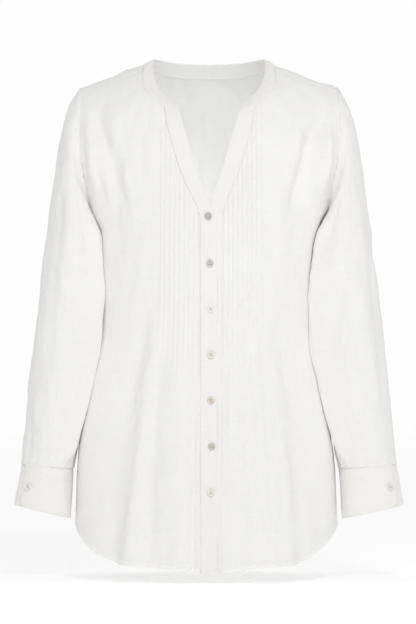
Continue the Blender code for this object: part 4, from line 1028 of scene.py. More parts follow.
def back_half():
    """The left half of the back as plain points, from its middle column to the armhole and side seam."""
    top = back_top()
    count = len(top)
    arm = ring_points(SLEEVE[0], np.linspace(SEAM_TURN, -math.pi, BACK_ARM_ROWS + 1), CAP_BULGE)
    arm_down = ridge(arm[:, 0]) - arm[:, 2]
    arm_down = np.where(arm[:, 1] < -1e-6, -arm_down, arm_down)
    arm_down[-1] = ridge(arm[-1, 0]) - arm[-1, 2]
    side_z = np.linspace(arm[-1, 2], HEM_SIDE, SIDE_ROWS + 1)[1:]
    last_down = np.concatenate([arm_down, ridge(half_width(side_z)) - side_z])
    rows = len(last_down)
    top_down = ridge(top[:, 0]) - top[:, 2]
    top_down = np.where(top[:, 1] < 0, -top_down, top_down)
    share = (last_down - last_down[0]) / (last_down[-1] - last_down[0])
    share = (0.5 * share + 0.5 * np.linspace(0, 1, rows))[:, None]
    first_down = top_down[0] + (-HEM_BACK - top_down[0]) * share[:, 0] ** 1.4
    coarse = np.where(
        np.arange(count) < BACK_NECK_COLUMNS,
        np.arange(count) / BACK_FINE_ACROSS,
        7 + (np.arange(count) - BACK_NECK_COLUMNS) / FINE_ACROSS,
    )
    spread = coarse / coarse[-1]
    ruled = first_down[:, None] * (1 - spread) + last_down[:, None] * spread
    down = ruled + (top_down - ruled[0]) * (1 - ease(share / 0.6))
    last_turn = np.concatenate([turn_of(arm[:, 0], arm[:, 2]), np.ones(SIDE_ROWS)])
    last_turn[BACK_ARM_ROWS] = 1.0
    turns = np.zeros((rows, count))
    z = np.zeros((rows, count))
    stay = 1 - ease(share[:, 0] / 0.35)
    for j in range(count):
        x = np.full(rows, top[j, 0])
        for _ in range(4):
            z[:, j] = ridge(x) - np.abs(down[:, j])
            own = turn_of(top[j, 0], z[:, j])
            turns[:, j] = last_turn * spread[j] * (1 - stay) + own * stay
            x = body_point(turns[:, j], z[:, j])[:, 0]
    turns[:, -1] = last_turn
    z[: BACK_ARM_ROWS + 1, -1] = arm[:, 2]
    z[BACK_ARM_ROWS + 1 :, -1] = side_z
    z = drawn_to_hem(z, turns, share, HEM_BACK)
    behind = body_point(turns, z, behind=True)
    before = body_point(turns, z)
    plain = np.where((down < 0)[..., None], before, behind)
    plain += (top - plain[0])[None] * ((1 - ease(share / 0.40)) ** 1.5)[..., None]
    plain[: BACK_ARM_ROWS + 1] += (arm - plain[: BACK_ARM_ROWS + 1, -1])[:, None] * (spread**5)[None, :, None]
    plain[:, 0, 0] = 0.0
    return plain, turns, z, down, coarse


def back_grid():
    """The whole back, with its large folds."""
    plain, turns, z, down, coarse = back_half()
    mirror = np.array([-1.0, 1.0, 1.0])
    whole = np.concatenate([plain[:, :0:-1] * mirror, plain], axis=1)
    turns = np.concatenate([turns[:, :0:-1], turns], axis=1)
    z = np.concatenate([z[:, :0:-1], z], axis=1)
    down = np.concatenate([down[:, :0:-1], down], axis=1)
    edge = coarse[-1] - np.concatenate([coarse[:0:-1], coarse])
    quiet = ease((1 - turns) / SIDE_QUIET) * ease(edge / 3.0)[None, :] * ease((down - 0.03) / 0.05)
    normals = grid_normals(whole, away_from_middle(whole))
    return whole + normals * (fold_depths(BACK_FOLDS, whole[..., 0], z) * quiet)[..., None]


def finished_back():
    grid = back_grid()
    grid = refine(grid, "low", 3, HEM_LEVELS)
    for edge in ("last", "first", "top"):
        grid = refine(grid, edge, 1, SEAM_LEVELS)
    normals = grid_normals(grid, away_from_middle(grid))
    to_hem = from_edge(grid, "low")
    to_top = from_edge(grid, "top")
    to_side = nearer_edge(grid, "last", "first")
    armhole = ease((grid[..., 2] - ARMHOLE_FOOT) / 0.01)
    soft = worn(grid, (41, 42), BACK_CRUMPLES)
    calm = ease(to_top / 0.03) * ease(to_side / 0.02)
    relief = hem_relief(to_hem) + seam_relief(to_side) + seam_relief(to_top) + soft * calm
    relief += pucker(to_top[:, -1:], to_side) * armhole
    outer = grid + normals * relief[..., None]
    # The turned hem takes the paler hem voile: two plies, with a painted highlight on them
    double = to_hem[1:, 1:] < HEM_TURN
    inner = outer - normals * PLY
    cloths = (single_cloth, hem_cloth_painted_highlight)
    sheet = cloth_object("back_panel", outer, inner, cloths, body_grain(grid, True), double)
    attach(sheet, "root")
    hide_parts("back")
    sewn = stitches("back_panel_stitches", [row_at(outer, normals, hem_stitch_row(to_hem))])


finished_back()


# Sleeves
# One piece of single voile each, set into the armhole and sewn into the cuff with a little ease.
# They rest against the sides of the body, softly creased at the elbow and gathered a little at the cuff.

SleeveFold = namedtuple("SleeveFold", "along_a round_a along_b round_b half_width depth")
SLEEVE_FOLDS = {
    -1: (
        SleeveFold(0.24, 1.30, 0.66, 2.55, 0.011, -0.0050),
        SleeveFold(0.30, 0.85, 0.86, 1.20, 0.011, -0.0040),
        SleeveFold(0.50, 2.60, 0.74, 1.50, 0.010, -0.0040),
        SleeveFold(0.66, -1.00, 0.95, -1.60, 0.012, -0.0045),
        SleeveFold(0.22, -1.00, 0.62, -2.30, 0.013, -0.0050),
        SleeveFold(0.80, 0.60, 0.99, 0.75, 0.007, -0.0030),
        SleeveFold(0.06, 1.15, 0.40, 1.75, 0.009, -0.0022),
        SleeveFold(0.55, 0.70, 0.72, 2.10, 0.007, 0.0020),
    ),
    1: (
        SleeveFold(0.26, 1.45, 0.60, 2.70, 0.011, -0.0045),
        SleeveFold(0.46, 0.90, 0.78, 2.35, 0.012, -0.0060),
        SleeveFold(0.52, 0.50, 0.92, 0.72, 0.010, -0.0040),
        SleeveFold(0.62, -1.10, 0.93, -1.50, 0.012, -0.0045),
        SleeveFold(0.24, -0.90, 0.66, -2.20, 0.013, -0.0050),
        SleeveFold(0.82, 1.40, 0.99, 1.45, 0.007, -0.0030),
        SleeveFold(0.07, 1.00, 0.42, 1.60, 0.009, -0.0022),
        SleeveFold(0.60, 0.60, 0.78, 1.90, 0.007, 0.0020),
    ),
}
SLEEVE_CRUMPLES = (Crumple(0.045, 0.130, 0.0008), Crumple(0.020, 0.050, 0.0003))
SLEEVE_RINGS = 18 * FINE
PLEATS = 15  # small eased gathers round the cuff seam
FOLD_SHARE = 0.65  # of the depth of its folds
SLEEVE_RADIUS = 0.066
REST_LINE = 2.50  # where it rests on the body, in radians round from the outer line towards the front
REST_SPREAD = 0.32
REST_GAP = 0.0008
MOST_LEAN = 0.022
ARM_PUCKER = 0.0009
CUFF_RISE = 0.0011  # how far its end stands up to meet the cuff
GATHER = 0.0008
REACH_HEIGHTS = np.linspace(-0.66, -0.02, 129)
REACH_DEPTHS = np.linspace(-0.10, 0.0, 51)


def ring_normals(ring, turns):
    """Directions straight out of a ring in its own plane."""
    outer_x, outer_z, inner_x, inner_z, depth, _ = ring
    half = np.array([(outer_x - inner_x) / 2, 0, (outer_z - inner_z) / 2])
    forward = np.array([0, -depth, 0])
    size = np.linalg.norm(half)
    return unit(np.cos(turns)[:, None] * half / size**2 + np.sin(turns)[:, None] * forward / depth**2)


def tube_normals(grid, out):
    """Unit normals of a grid whose columns run round a tube."""
    wrapped = np.concatenate([grid[:, -1:], grid, grid[:, :1]], axis=1)
    normals = unit(np.cross(np.gradient(wrapped, axis=0), np.gradient(wrapped, axis=1)))[:, 1:-1]
    return normals if (normals * out).sum() > 0 else -normals


def sleeve_fold_depths(folds, along, turns, girth):
    moved = np.zeros((len(along), len(turns)))
    for fold in folds:
        share = (along - fold.along_a) / (fold.along_b - fold.along_a)
        line = fold.round_a + (fold.round_b - fold.round_a) * share
        strength = ease(share / FOLD_END) * ease((1 - share) / FOLD_END)
        apart = (turns[None, :] - line[:, None] + math.pi) % (2 * math.pi) - math.pi
        across = apart * girth[:, None] / (2 * math.pi)
        moved += fold.depth * strength[:, None] * np.exp(-((across / fold.half_width) ** 2))
    return moved


def beside_body(points, behind):
    """How far out the side of the blouse reaches at the depth and height of each point."""
    turns, levels = np.meshgrid(np.linspace(0.25, 1, 61), REACH_HEIGHTS)
    body = body_point(turns, levels, behind)
    facing = -1.0 if behind else 1.0
    if not behind:
        body += grid_normals(body, away_from_middle(body)) * fullness(turns, levels)[..., None]
    reach = [[np.interp(y, row[:, 1] * facing, row[:, 0]) for row in body] for y in REACH_DEPTHS]
    across = np.interp(points[..., 1] * facing, REACH_DEPTHS, np.arange(len(REACH_DEPTHS)))
    down = np.interp(points[..., 2], REACH_HEIGHTS, np.arange(len(REACH_HEIGHTS)))
    return between(np.array(reach), across, down)


def finished_sleeve(side, name, label):
    turns = np.concatenate(
        [
            np.linspace(SEAM_TURN, math.pi, FRONT_ARM_ROWS + 1),
            np.linspace(-math.pi, SEAM_TURN, BACK_ARM_ROWS + 1)[1:-1] + 2 * math.pi,
        ]
    )
    along = np.linspace(0, 1, SLEEVE_RINGS + 1) ** 1.15
    grid = []
    ring_out = []
    for share in along:
        ring = sleeve_ring(share)
        grid.append(ring_points(ring, turns, CAP_BULGE * (1 - ease(share / 0.35))))
        ring_out.append(ring_normals(ring, turns))
    grid = np.array(grid)
    ring_out = np.array(ring_out)
    girth = np.linalg.norm(np.roll(grid, -1, axis=1) - grid, axis=2).sum(axis=1)
    still = ease((along - 0.06) / 0.12)[:, None] * ease((1 - along) / 0.06)[:, None]
    beside = np.exp(-(((turns - math.pi) / 0.42) ** 2))
    folds = sleeve_fold_depths(SLEEVE_FOLDS[side], along, turns % (2 * math.pi), girth)
    moved = FOLD_SHARE * folds * still * (1 - beside)
    grid += tube_normals(grid, ring_out) * moved[..., None]
    # Its inner front and inner back lean in until they lie against the side of the blouse
    near = ease((along - 0.005) / 0.05) * ease((1 - along) / 0.18)
    for line, behind in ((REST_LINE, False), (2 * math.pi - REST_LINE, True)):
        gap = np.maximum(grid[..., 0] - beside_body(grid, behind) - REST_GAP, 0)
        lean_in = np.minimum(gap, MOST_LEAN) * np.exp(-(((turns - line) / REST_SPREAD) ** 2))
        grid[..., 0] -= lean_in * near[:, None]
    grid = np.concatenate([grid, ring_out], axis=2)
    grid = refine(refine(grid, "top", 1, SEAM_LEVELS), "low", 1, SEAM_LEVELS)
    points, ring_out = grid[..., :3], grid[..., 3:]
    normals = tube_normals(points, ring_out)
    to_arm = from_edge(points, "top")
    to_cuff = from_edge(points, "low")
    slow = np.sin(turns * 9 + 1.7 * np.sin(turns * 3 + side)) * 0.6
    wave = slow + np.sin(turns * 23 + 2 * np.sin(turns * 5)) * 0.4
    puckered = ARM_PUCKER * wave * ease(to_arm / 0.003) * np.exp(-to_arm / 0.014)
    gathers = np.sin(turns * PLEATS + 1.5 * np.sin(turns * 2 + side))
    gathers = gathers * ease(to_cuff / 0.004) * np.exp(-to_cuff / 0.022)
    soft = worn(points, (50 + side, 60 + side), SLEEVE_CRUMPLES)
    meets_cuff = CUFF_RISE * np.exp(-((to_cuff / 0.006) ** 2))
    relief = 0.4 * seam_relief(to_arm) + meets_cuff + puckered + GATHER * gathers
    relief += soft * ease(to_arm / 0.02) * ease(to_cuff / 0.02) * (1 - beside)
    outer = points + normals * relief[..., None]
    mirror = np.array([side, 1.0, 1.0])
    arm = unit(points[-1].mean(axis=0) - points[0].mean(axis=0))
    down = np.concatenate([points, points[:, :1]], axis=1) @ arm
    around = np.concatenate([turns, [turns[0] + 2 * math.pi]]) * SLEEVE_RADIUS
    grain = np.stack(np.broadcast_arrays(around[None, :], -down), axis=-1)
    inner = outer - normals * PLY
    sheet = cloth_object(name, outer * mirror, inner * mirror, (single_cloth,), grain, closed=True)
    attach(sheet, "root")
    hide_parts(label)


finished_sleeve(-1, "sleeve_cloth_right", "sleeve_right")
finished_sleeve(1, "sleeve_cloth_left", "sleeve_left")


# Cuffs
# Two plies of voile with a lining between, edge-stitched all round. One end laps over the other at the
# outer front of the wrist, with its lower corner cut round, and a shell button holds it.

CUFF_TOP = SLEEVE[-1]
CUFF_END = Ring(0.2905, -0.6560, 0.2020, -0.6765, 0.0315, -0.036)
CUFF_HEIGHT = 0.068
CUFF_LAP = 0.022
LAP_LIFT = 0.0019  # how far the lap stands over the end below it
CUFF_CORNER = 0.013
CUFF_GIRTH = 0.238
CUFF_EDGE = 0.62  # where the lapped edge lies, in radians round from the outer line towards the front
BAND_PLY = 0.0012
EDGE_LEVELS = (0.0000, 0.0004, 0.0009, 0.0014, 0.0019, 0.0024, 0.0030)
EDGE_STITCH = 0.0019
EDGE_ROUND = 0.0005
EDGE_DENT = 0.00035
EDGE_FULL = 0.0002


def band_relief(distance):
    """The rounded folded edge of a two-ply piece, the dent of its stitching and the fuller cloth beyond."""
    edge = -EDGE_ROUND * (1 - ease(distance / 0.0009))
    dent = -EDGE_DENT * np.exp(-(((distance - EDGE_STITCH) / 0.0006) ** 2))
    return edge + dent + EDGE_FULL * ease((distance - 0.002) / 0.003)


def finished_cuff(side, name, label):
    lap = CUFF_LAP / CUFF_GIRTH * 2 * math.pi
    per_metre = 2 * math.pi / CUFF_GIRTH
    near = np.array(EDGE_LEVELS) * per_metre
    start = np.concatenate([near, np.linspace(near[-1], lap, 12)[1:]])
    finish = 2 * math.pi + lap - near[::-1]
    under = np.linspace(2 * math.pi, finish[0], 10)[1:]
    turns = CUFF_EDGE + np.concatenate([start, np.linspace(lap, 2 * math.pi, 96)[1:], under, finish[1:]])
    top, end = np.array(CUFF_TOP), np.array(CUFF_END)
    levels = np.array(EDGE_LEVELS) / CUFF_HEIGHT
    shares = np.concatenate([levels, np.linspace(levels[-1], 1 - levels[-1], 24)[1:-1], 1 - levels[::-1]])
    points = np.array([ring_points(top + (end - top) * s, turns, 0.0) for s in shares])
    normals = np.array([ring_normals(top + (end - top) * s, turns) for s in shares])
    over = 1 - ease((turns - turns[0] - lap * 1.05) / lap)
    points += normals * (over * LAP_LIFT)[None, :, None]
    height = np.linalg.norm(points[-1] - points[0], axis=1)
    from_lap = (turns - turns[0]) / per_metre
    inside = np.clip(1 - from_lap / CUFF_CORNER, 0, 1)
    keep = 1 - CUFF_CORNER * (1 - np.sqrt(1 - inside**2)) * 0.98 / height
    points = points[:1] + (points - points[:1]) * keep[None, :, None]
    to_edge = nearer_edge(points, "top", "low")
    to_end = nearer_edge(points, "first", "last")
    wave = 0.0004 * np.sin(turns * 7 + side) * np.sin(shares[:, None] * 5) * ease(to_edge / 0.01)
    relief = band_relief(np.minimum(to_edge, to_end)) + wave
    outer = points + normals * relief[..., None]
    mirror = np.array([side, 1.0, 1.0])
    inner = points - normals * (BAND_PLY + 0.4 * np.minimum(relief, 0))[..., None]
    sheet = cloth_object(name, outer * mirror, inner * mirror, (double_cloth,), band_grain(points))
    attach(sheet, "root")
    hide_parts(label)
    at = EDGE_LEVELS.index(EDGE_STITCH)
    places = [np.s_[n, at:-at] for n in (at, len(shares) - 1 - at)]
    rows = [row_at(outer, normals, place, mirror) for place in [*places, np.s_[at:-at, at]]]
    sewn = stitches(f"{name}_stitches", rows)


finished_cuff(-1, "cuff_cloth_right", "cuff_right")
finished_cuff(1, "cuff_cloth_left", "cuff_left")


# Neck band
# A narrow two-ply band that stands up round the back of the neck and lies down to each end of the V.
# It is edge-stitched along its free edge and again along its seam.

EDGE_ALL = (
    NeckPoint(0.0000, 0.0665, 0.0055),
    NeckPoint(0.0290, 0.0620, 0.0061),
    NeckPoint(0.0540, 0.0490, 0.0076),
    NeckPoint(0.0725, 0.0270, 0.0100),
    NeckPoint(0.0812, 0.0050, 0.0104),
    NeckPoint(0.0835, -0.0130, -0.0010),
    NeckPoint(0.0822, -0.0300, -0.0148),
    NeckPoint(0.0772, -0.0440, -0.0295),
    NeckPoint(0.0688, -0.0555, -0.0420),
    NeckPoint(0.0577, -0.0630, -0.0509),
    NeckPoint(0.0450, -0.0680, -0.0590),
)
BAND_CROWN = 0.0010
STRIP_WIDTH = 0.0254
STRIP_SHARES = np.concatenate(
    [
        np.array(EDGE_LEVELS) / STRIP_WIDTH,
        np.linspace(EDGE_LEVELS[-1] / STRIP_WIDTH, 1 - EDGE_LEVELS[-1] / STRIP_WIDTH, 8)[1:-1],
        1 - np.array(EDGE_LEVELS)[::-1] / STRIP_WIDTH,
    ]
)


def band_half(side):
    """Half of the neck band, from the middle of the back to one end of the V, its free edge first."""
    edge = by_length([tuple(p) for p in EDGE_ALL])
    top, v_end, neck_end = front_top(side)
    first = (UPPER_STRIP if side < 0 else UNDER_STRIP)[0]
    sign = 1 if first.outer_x > 0 else -1
    x = abs(first.outer_x) + (first.inner_x * sign - abs(first.outer_x)) * STRIP_SHARES
    z = first.outer_z + (first.inner_z - first.outer_z) * STRIP_SHARES
    foot = front_at(x, z)[1:]
    low = np.concatenate([back_top()[: BACK_NECK_COLUMNS + 1], top[v_end:neck_end][::-1], foot])
    travelled = np.concatenate([[0], np.cumsum(np.linalg.norm(np.diff(low, axis=0), axis=1))])
    high = edge(travelled / travelled[-1])
    width = np.linalg.norm(high - low, axis=1)[:, None]
    near = np.array(EDGE_LEVELS)
    middle = np.linspace(0, 1, 9)[1:-1]
    shares = [n / width for n in near]
    shares += [near[-1] / width + (1 - 2 * near[-1] / width) * m for m in middle]
    shares += [1 - n / width for n in near[::-1]]
    shares = np.array(shares)
    half = high[None] * (1 - shares) + low[None] * shares
    half[:, 0, 0] = 0.0
    return half, 4 * shares[..., 0] * (1 - shares[..., 0])


def finished_band():
    halves = {side: band_half(side) for side in (-1, 1)}
    mirror = np.array([-1.0, 1.0, 1.0])
    points = np.concatenate([halves[-1][0][:, :0:-1] * mirror, halves[1][0]], axis=1)
    crown = np.concatenate([halves[-1][1][:, :0:-1], halves[1][1]], axis=1)
    normals = grid_normals(points, points * np.array([1.0, 1.0, 0.0]) + np.array([0, 0, 0.02]))
    to_edge = nearer_edge(points, "top", "low")
    to_end = nearer_edge(points, "first", "last")
    relief = band_relief(np.minimum(to_edge, to_end)) + BAND_CROWN * crown + 0.0004 * (to_end > 0.002)
    ripple = np.sin(from_edge(points, "first") / 0.0075) + np.sin(from_edge(points, "first") / 0.0043 + 1)
    relief += 0.00018 * ripple * crown
    outer = points + normals * relief[..., None]
    inner = points - normals * (BAND_PLY + 0.4 * np.minimum(relief, 0))[..., None]
    sheet = cloth_object("neck_band_cloth", outer, inner, (double_cloth,), band_grain(points))
    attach(sheet, "root")
    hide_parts("neck_band")
    at = EDGE_LEVELS.index(EDGE_STITCH)
    rows = [row_at(outer, normals, np.s_[n, at:-at]) for n in (at, len(points) - 1 - at)]
    sewn = stitches("neck_band_stitches", rows)


finished_band()


# Front strips
# A two-ply strip down each front edge, from the neck band along the V to the hem, edge-stitched on both
# sides. The buttonhole strip laps over the button strip and has a worked upright buttonhole at each button.

BUTTONS = (
    ViewPoint(-0.0012, -0.2285),
    ViewPoint(0.0012, -0.2975),
    ViewPoint(0.0026, -0.3641),
    ViewPoint(0.0028, -0.4317),
    ViewPoint(0.0028, -0.4992),
    ViewPoint(0.0040, -0.5663),
    ViewPoint(0.0028, -0.6343),
)
UPPER_LIFT = 0.0014
STRIP_PLY = 0.0009
BUTTONHOLE = 0.0135
BUTTONHOLE_HALF = 0.0011
BUTTONHOLE_PITCH = 0.00045
BUTTONHOLE_BAR = 0.0008  # how much of each end its bar takes


def strip_edge(side):
    """Points of the seam between a strip and its front, down from the neck band to the hem."""
    grid = front_grid(side)[..., :3]
    _, v_end, _ = front_top(side)
    points = np.concatenate([grid[0, : v_end + 1][::-1], grid[1:, 0]])
    return by_length(points)(np.linspace(0, 1, 260))


def strip_grid(side):
    strip = UPPER_STRIP if side < 0 else UNDER_STRIP
    table = np.array([tuple(r) for r in strip])
    outer = strip_edge(side)
    travelled = np.concatenate([[0], np.cumsum(np.hypot(*np.diff(table[:, 2:], axis=0).T))])
    inner_path = through(travelled, table[:, :2])
    gone = np.concatenate([[0], np.cumsum(np.hypot(np.diff(outer[:, 0]), np.diff(outer[:, 2])))])
    inner = inner_path(np.minimum(gone, travelled[-1]))
    past = np.maximum(gone - travelled[-1], 0)
    inner[:, 1] = np.where(past > 0, outer[:, 2], inner[:, 1])
    x = outer[:, :1] + (inner[:, :1] * side - outer[:, :1]) * STRIP_SHARES
    z = outer[:, 2:] + (inner[:, 1:] - outer[:, 2:]) * STRIP_SHARES
    z[-1] = np.where(STRIP_SHARES > 0, hem_height(turn_of(x[-1], z[-1]), HEM_FRONT), z[-1])
    plain = front_at(x, z)
    plain[:, 0] = outer
    return plain, own_normals(x, z)


def finished_strip(side, lift, name, label):
    points, normals = strip_grid(side)
    grid = refine(np.concatenate([points, normals], axis=2), "low", 3, HEM_LEVELS)
    points, normals = grid[..., :3], unit(grid[..., 3:])
    to_hem = from_edge(points, "low")
    to_edge = nearer_edge(points, "first", "last")
    to_end = from_edge(points, "top")
    wave = 0.00035 * np.sin(to_end / 0.011 + 3 * np.sin(to_end / 0.05)) * ease(to_edge / 0.006)
    wave += 0.0007 * np.sin(to_end / 0.031 + side) * ease((-0.25 - points[..., 2]) / 0.1)
    relief = lift + band_relief(np.minimum(to_edge, to_end + 0.0004))
    relief = relief + wave * ease(to_end / 0.01) * ease(to_hem / 0.01)
    relief += 0.5 * hem_relief(to_hem)
    if side < 0:
        relief -= lift * 0.85 * (1 - ease(from_edge(points, "first") / 0.0009))
    relief -= lift * (1 - ease(to_end / 0.02))
    outer = points + normals * relief[..., None]
    inner = outer - normals * (STRIP_PLY * ease(to_end / 0.001) + 0.0001)[..., None]
    mirror = np.array([side, 1.0, 1.0])
    sheet = cloth_object(name, outer * mirror, inner * mirror, (double_cloth,), band_grain(points))
    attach(sheet, "root")
    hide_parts(label)
    at = EDGE_LEVELS.index(EDGE_STITCH)
    places = [np.s_[2:, at], np.s_[2:, -1 - at], hem_stitch_row(to_hem)]
    rows = [row_at(outer, normals, place, mirror) for place in places]
    sewn = stitches(f"{name}_stitches", rows)


finished_strip(1, 0.0, "button_strip_cloth", "button_strip")
finished_strip(-1, UPPER_LIFT, "buttonhole_strip_cloth", "buttonhole_strip")


def worked_buttonholes():
    """Close satin stitches down both sides of each slit, with a bar across each end."""
    rows = []
    for spot in BUTTONS:
        seat = float(spot.z)
        for offset in np.arange(-BUTTONHOLE / 2, BUTTONHOLE / 2, BUTTONHOLE_PITCH):
            at_end = abs(abs(offset) - BUTTONHOLE / 2) < BUTTONHOLE_BAR
            spans = ((-1.0, 1.0),) if at_end else ((-1.0, -0.12), (0.12, 1.0))
            for start, stop in spans:
                x = spot.x + BUTTONHOLE_HALF * np.array([start, (start + stop) / 2, stop])
                z = np.full(3, seat + offset)
                out = own_normals(x, z)
                bow = np.array([0.0002, 0.0004, 0.0002])[:, None]
                rows.append(Row(front_at(x, z) + out * (UPPER_LIFT + bow), out))
    stitches("worked_buttonholes", rows, pitch=0.0009, length=0.0012, width=0.00042)


worked_buttonholes()


# Buttons
# Four-hole discs of river shell, turned with a raised rim, each from a different part of the shell, so
# that one is grey and the next is cream. Each is sewn on with two bars of thread through its holes.

BUTTON_THICK = 0.0022
FRONT_STAND = 0.0020  # how far a button stands off the plain form below it
CUFF_STAND = 0.0024
HOLE_RADIUS = 0.00075
HOLE_PITCH = 0.0012
BUTTON_SIDES = 48
THREAD_APART = 0.00028  # between the strands of a bar
RimPoint = namedtuple("RimPoint", "radius height")
BUTTON_PROFILE = (
    RimPoint(0.00460, 0.00000),
    RimPoint(0.00510, 0.00020),
    RimPoint(0.00536, 0.00065),
    RimPoint(0.00540, 0.00115),
    RimPoint(0.00530, 0.00165),
    RimPoint(0.00508, 0.00205),
    RimPoint(0.00475, 0.00220),
    RimPoint(0.00440, 0.00208),
    RimPoint(0.00400, 0.00178),
    RimPoint(0.00340, 0.00162),
)
SHELL_TONES = (
    (0.47, 0.455, 0.415),
    (0.55, 0.525, 0.490),
    (0.86, 0.855, 0.800),
    (0.74, 0.720, 0.630),
    (0.66, 0.620, 0.510),
    (0.55, 0.530, 0.475),
    (0.82, 0.790, 0.700),
    (0.82, 0.795, 0.730),
    (0.78, 0.750, 0.680),
)


def shell_finish(number, tone):
    """Polished shell: fine wavy growth lines, cloudy paler patches and a soft pearly coat."""
    coat = {"Coat Weight": 0.35, "Coat Roughness": 0.18, "Specular IOR Level": 0.5}
    made, tree, shader = new_material(f"shell_{number}", coat)
    place = added(tree, "ShaderNodeTexCoord", {})
    growth = {"Scale": 190.0 + 17 * number, "Distortion": 5.0, "Detail": 2.0, "Detail Scale": 1.2}
    lines = added(tree, "ShaderNodeTexWave", growth)
    link(tree, place, "Object", lines, "Vector")
    cloud = added(tree, "ShaderNodeTexNoise", {"Scale": 240.0, "Detail": 3.0})
    link(tree, place, "Object", cloud, "Vector")
    both = added(tree, "ShaderNodeMath", {1: 0.45}, operation="MULTIPLY_ADD")
    link(tree, lines, "Fac", both, 0)
    link(tree, cloud, "Fac", both, 2)
    darker = tuple(c * 0.90 for c in tone)
    paler = tuple(min(c * 1.30, 0.96) for c in tone)
    colour_between(tree, both, (0.3, 1.1), darker, paler, shader)
    rough = added(tree, "ShaderNodeMapRange", {"To Min": 0.22, "To Max": 0.42})
    link(tree, cloud, "Fac", rough, "Value")
    link(tree, rough, 0, shader, "Roughness")
    bump = added(tree, "ShaderNodeBump", {"Strength": 0.15, "Distance": 0.0002})
    link(tree, lines, "Fac", bump, "Height")
    link(tree, bump, "Normal", shader, "Normal")
    return made


def turned(rings, sides):
    """A closed round solid from (radius, height) rings, bottom to top, round the Z axis."""
    points = []
    for radius, height in rings:
        for n in range(sides):
            a = 2 * math.pi * n / sides
            points.append((radius * math.cos(a), radius * math.sin(a), height))
    faces = [list(range(sides))[::-1]]
    for i in range(len(rings) - 1):
        for j in range(sides):
            k = (j + 1) % sides
            faces.append([i * sides + j, i * sides + k, (i + 1) * sides + k, (i + 1) * sides + j])
    faces.append([(len(rings) - 1) * sides + j for j in range(sides)])
    mesh = bpy.data.meshes.new("turned")
    mesh.from_pydata(points, [], faces)
    return placed("turned", mesh)


def button_blank():
    """One shell disc with its four holes, lying on the XY plane."""
    disc = turned([tuple(p) for p in BUTTON_PROFILE], BUTTON_SIDES)
    drills = []
    for ix in (-1, 1):
        for iy in (-1, 1):
            drill = turned([(HOLE_RADIUS, -0.001), (HOLE_RADIUS, BUTTON_THICK + 0.001)], 16)
            drill.data.transform(Matrix.Translation((ix * HOLE_PITCH, iy * HOLE_PITCH, 0.0)))
            cut = disc.modifiers.new("hole", "BOOLEAN")
            cut.operation = "DIFFERENCE"
            cut.solver = "EXACT"
            cut.object = drill
            drills.append(drill)
    bpy.context.view_layer.update()
    mesh = bpy.data.meshes.new_from_object(disc.evaluated_get(bpy.context.evaluated_depsgraph_get()))
    for old in [disc, *drills]:
        bpy.data.objects.remove(old)
    return mesh


def sewn_button(blank, number, label, seat, out):
    """A button on its spot, with its growth lines turned its own way, and its two bars of thread."""
    out = Vector(out).normalized()
    side = Vector((0.0, 0.0, 1.0)).cross(out).normalized()
    up = out.cross(side)
    stand = Matrix((side, up, out)).transposed().to_4x4()
    place = Matrix.Translation(Vector(seat)) @ stand
    mesh = blank.copy()
    mesh.transform(place)
    mesh.materials.clear()
    mesh.materials.append(shell_finish(number, SHELL_TONES[number - 1]))
    mesh.shade_smooth()
    mesh.set_sharp_from_angle(angle=math.radians(40))
    disc = placed(f"shell_disc_{number}", mesh)
    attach(disc, "root")
    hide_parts(label)
    rows = []
    for ix in (-1, 1):
        for shift in (-THREAD_APART, 0.0, THREAD_APART):
            x = ix * HOLE_PITCH + shift
            arc = [(-1.0, 0.0009), (-0.8, 0.0019), (0.0, 0.0021), (0.8, 0.0019), (1.0, 0.0009)]
            line = [place @ Vector((x, HOLE_PITCH * share, height)) for share, height in arc]
            rows.append(Row(np.array([tuple(p) for p in line]), np.array([tuple(out)] * len(line))))
    return rows


blank = button_blank()
bars = []
for number, spot in enumerate(BUTTONS, 1):
    out = own_normals(np.array(0.0005), np.array(spot.z))
    out[0] = 0.0
    seat = front_at(spot.x, spot.z) + unit(out) * FRONT_STAND
    bars += sewn_button(blank, number, f"button_{number}", seat, unit(out))
for number, side, label in ((8, -1, "cuff_button_right"), (9, 1, "cuff_button_left")):
    ring = (np.array(CUFF_TOP) + np.array(CUFF_END)) / 2
    turn = np.array([CUFF_EDGE + CUFF_LAP * 0.56 / CUFF_GIRTH * 2 * math.pi])
    mirror = np.array([side, 1.0, 1.0])
    out = ring_normals(ring, turn)[0]
    seat = ring_points(ring, turn, 0.0)[0] + out * CUFF_STAND
    bars += sewn_button(blank, number, label, seat * mirror, out * mirror)
bpy.data.meshes.remove(blank)
stitches("button_threads", bars, pitch=0.0005, length=0.0009, width=0.00032)


# Studio
# A pale floor just below the hem, a lit backdrop eight metres behind and soft light from all round with
# one key from the upper front. The camera is level with the middle of the blouse, six metres away.

FLOOR = -0.767
WIDE = 12.0
WHITE = (1.0, 1.0, 1.0, 1)
BACKDROP_Y = 8.0
BACKDROP_LOW = FLOOR - 0.2
BACKDROP_TOP = 8.0
SENSOR = 24.0
CAMERA_AWAY = 6.0
PIXEL = 0.0015
PIXELS_HIGH = 624


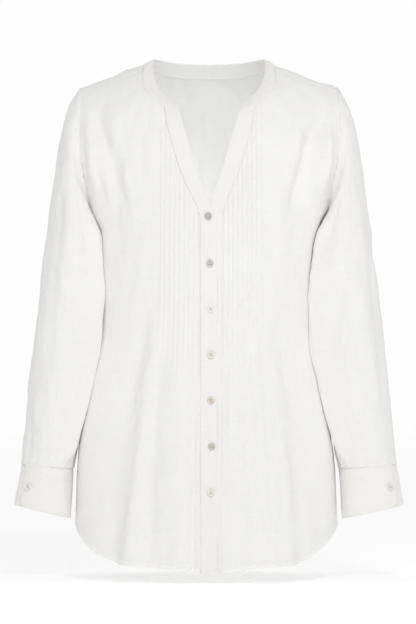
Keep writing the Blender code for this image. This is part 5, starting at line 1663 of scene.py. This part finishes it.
def studio_sheet(name, finish, corners, base, glow):
    """A matt flat sheet that gives off some light of its own."""
    mesh = bpy.data.meshes.new(name)
    mesh.from_pydata(corners, [], [(0, 1, 2, 3)])
    matt = {"Base Color": (base, base, base, 1), "Roughness": 1.0, "Specular IOR Level": 0.0}
    made, _, _ = new_material(finish, {**matt, "Emission Color": WHITE, "Emission Strength": glow})
    mesh.materials.append(made)
    return placed(name, mesh)


def soft_light(name, place, aim, size, power, colour):
    lamp = bpy.data.lights.new(name, "AREA")
    lamp.shape = "DISK"
    lamp.size = size
    lamp.energy = power
    lamp.color = colour
    made = placed(name, lamp)
    made.location = place
    made.rotation_euler = (Vector(aim) - Vector(place)).to_track_quat("-Z", "Y").to_euler()
    made.visible_camera = False


corners = [(-WIDE, -WIDE, FLOOR), (WIDE, -WIDE, FLOOR), (WIDE, WIDE, FLOOR), (-WIDE, WIDE, FLOOR)]
floor = studio_sheet("studio_floor", "floor_paper", corners, 0.55, 0.56)
foot = [(-WIDE, BACKDROP_Y, BACKDROP_LOW), (WIDE, BACKDROP_Y, BACKDROP_LOW)]
head = [(WIDE, BACKDROP_Y, BACKDROP_TOP), (-WIDE, BACKDROP_Y, BACKDROP_TOP)]
backdrop = studio_sheet("studio_backdrop", "studio_backdrop", foot + head, 0.0, 0.99)
scene = bpy.context.scene
world = bpy.data.worlds.new("studio")
world.use_nodes = True
set_inputs(world.node_tree.nodes["Background"], {"Color": WHITE, "Strength": 0.59})
scene.world = world
scene.view_settings.view_transform = "Standard"
soft_light("key", (0.40, -2.4, 1.4), (0.0, 0.0, -0.20), 0.8, 22.6, (1.0, 1.0, 1.0))
soft_light("inside", (0.0, -0.03, -0.36), (0.0, 0.5, -0.05), 0.12, 0.27, (0.93, 0.96, 1.0))

camera = bpy.data.cameras.new("camera")
camera.sensor_fit = "VERTICAL"
camera.sensor_height = SENSOR
camera.lens = SENSOR * CAMERA_AWAY / (PIXELS_HIGH * PIXEL)
view = placed("camera", camera)
view.location = (-PIXEL, -CAMERA_AWAY, -0.369)
view.rotation_euler = (math.pi / 2, 0, 0)
scene.camera = view
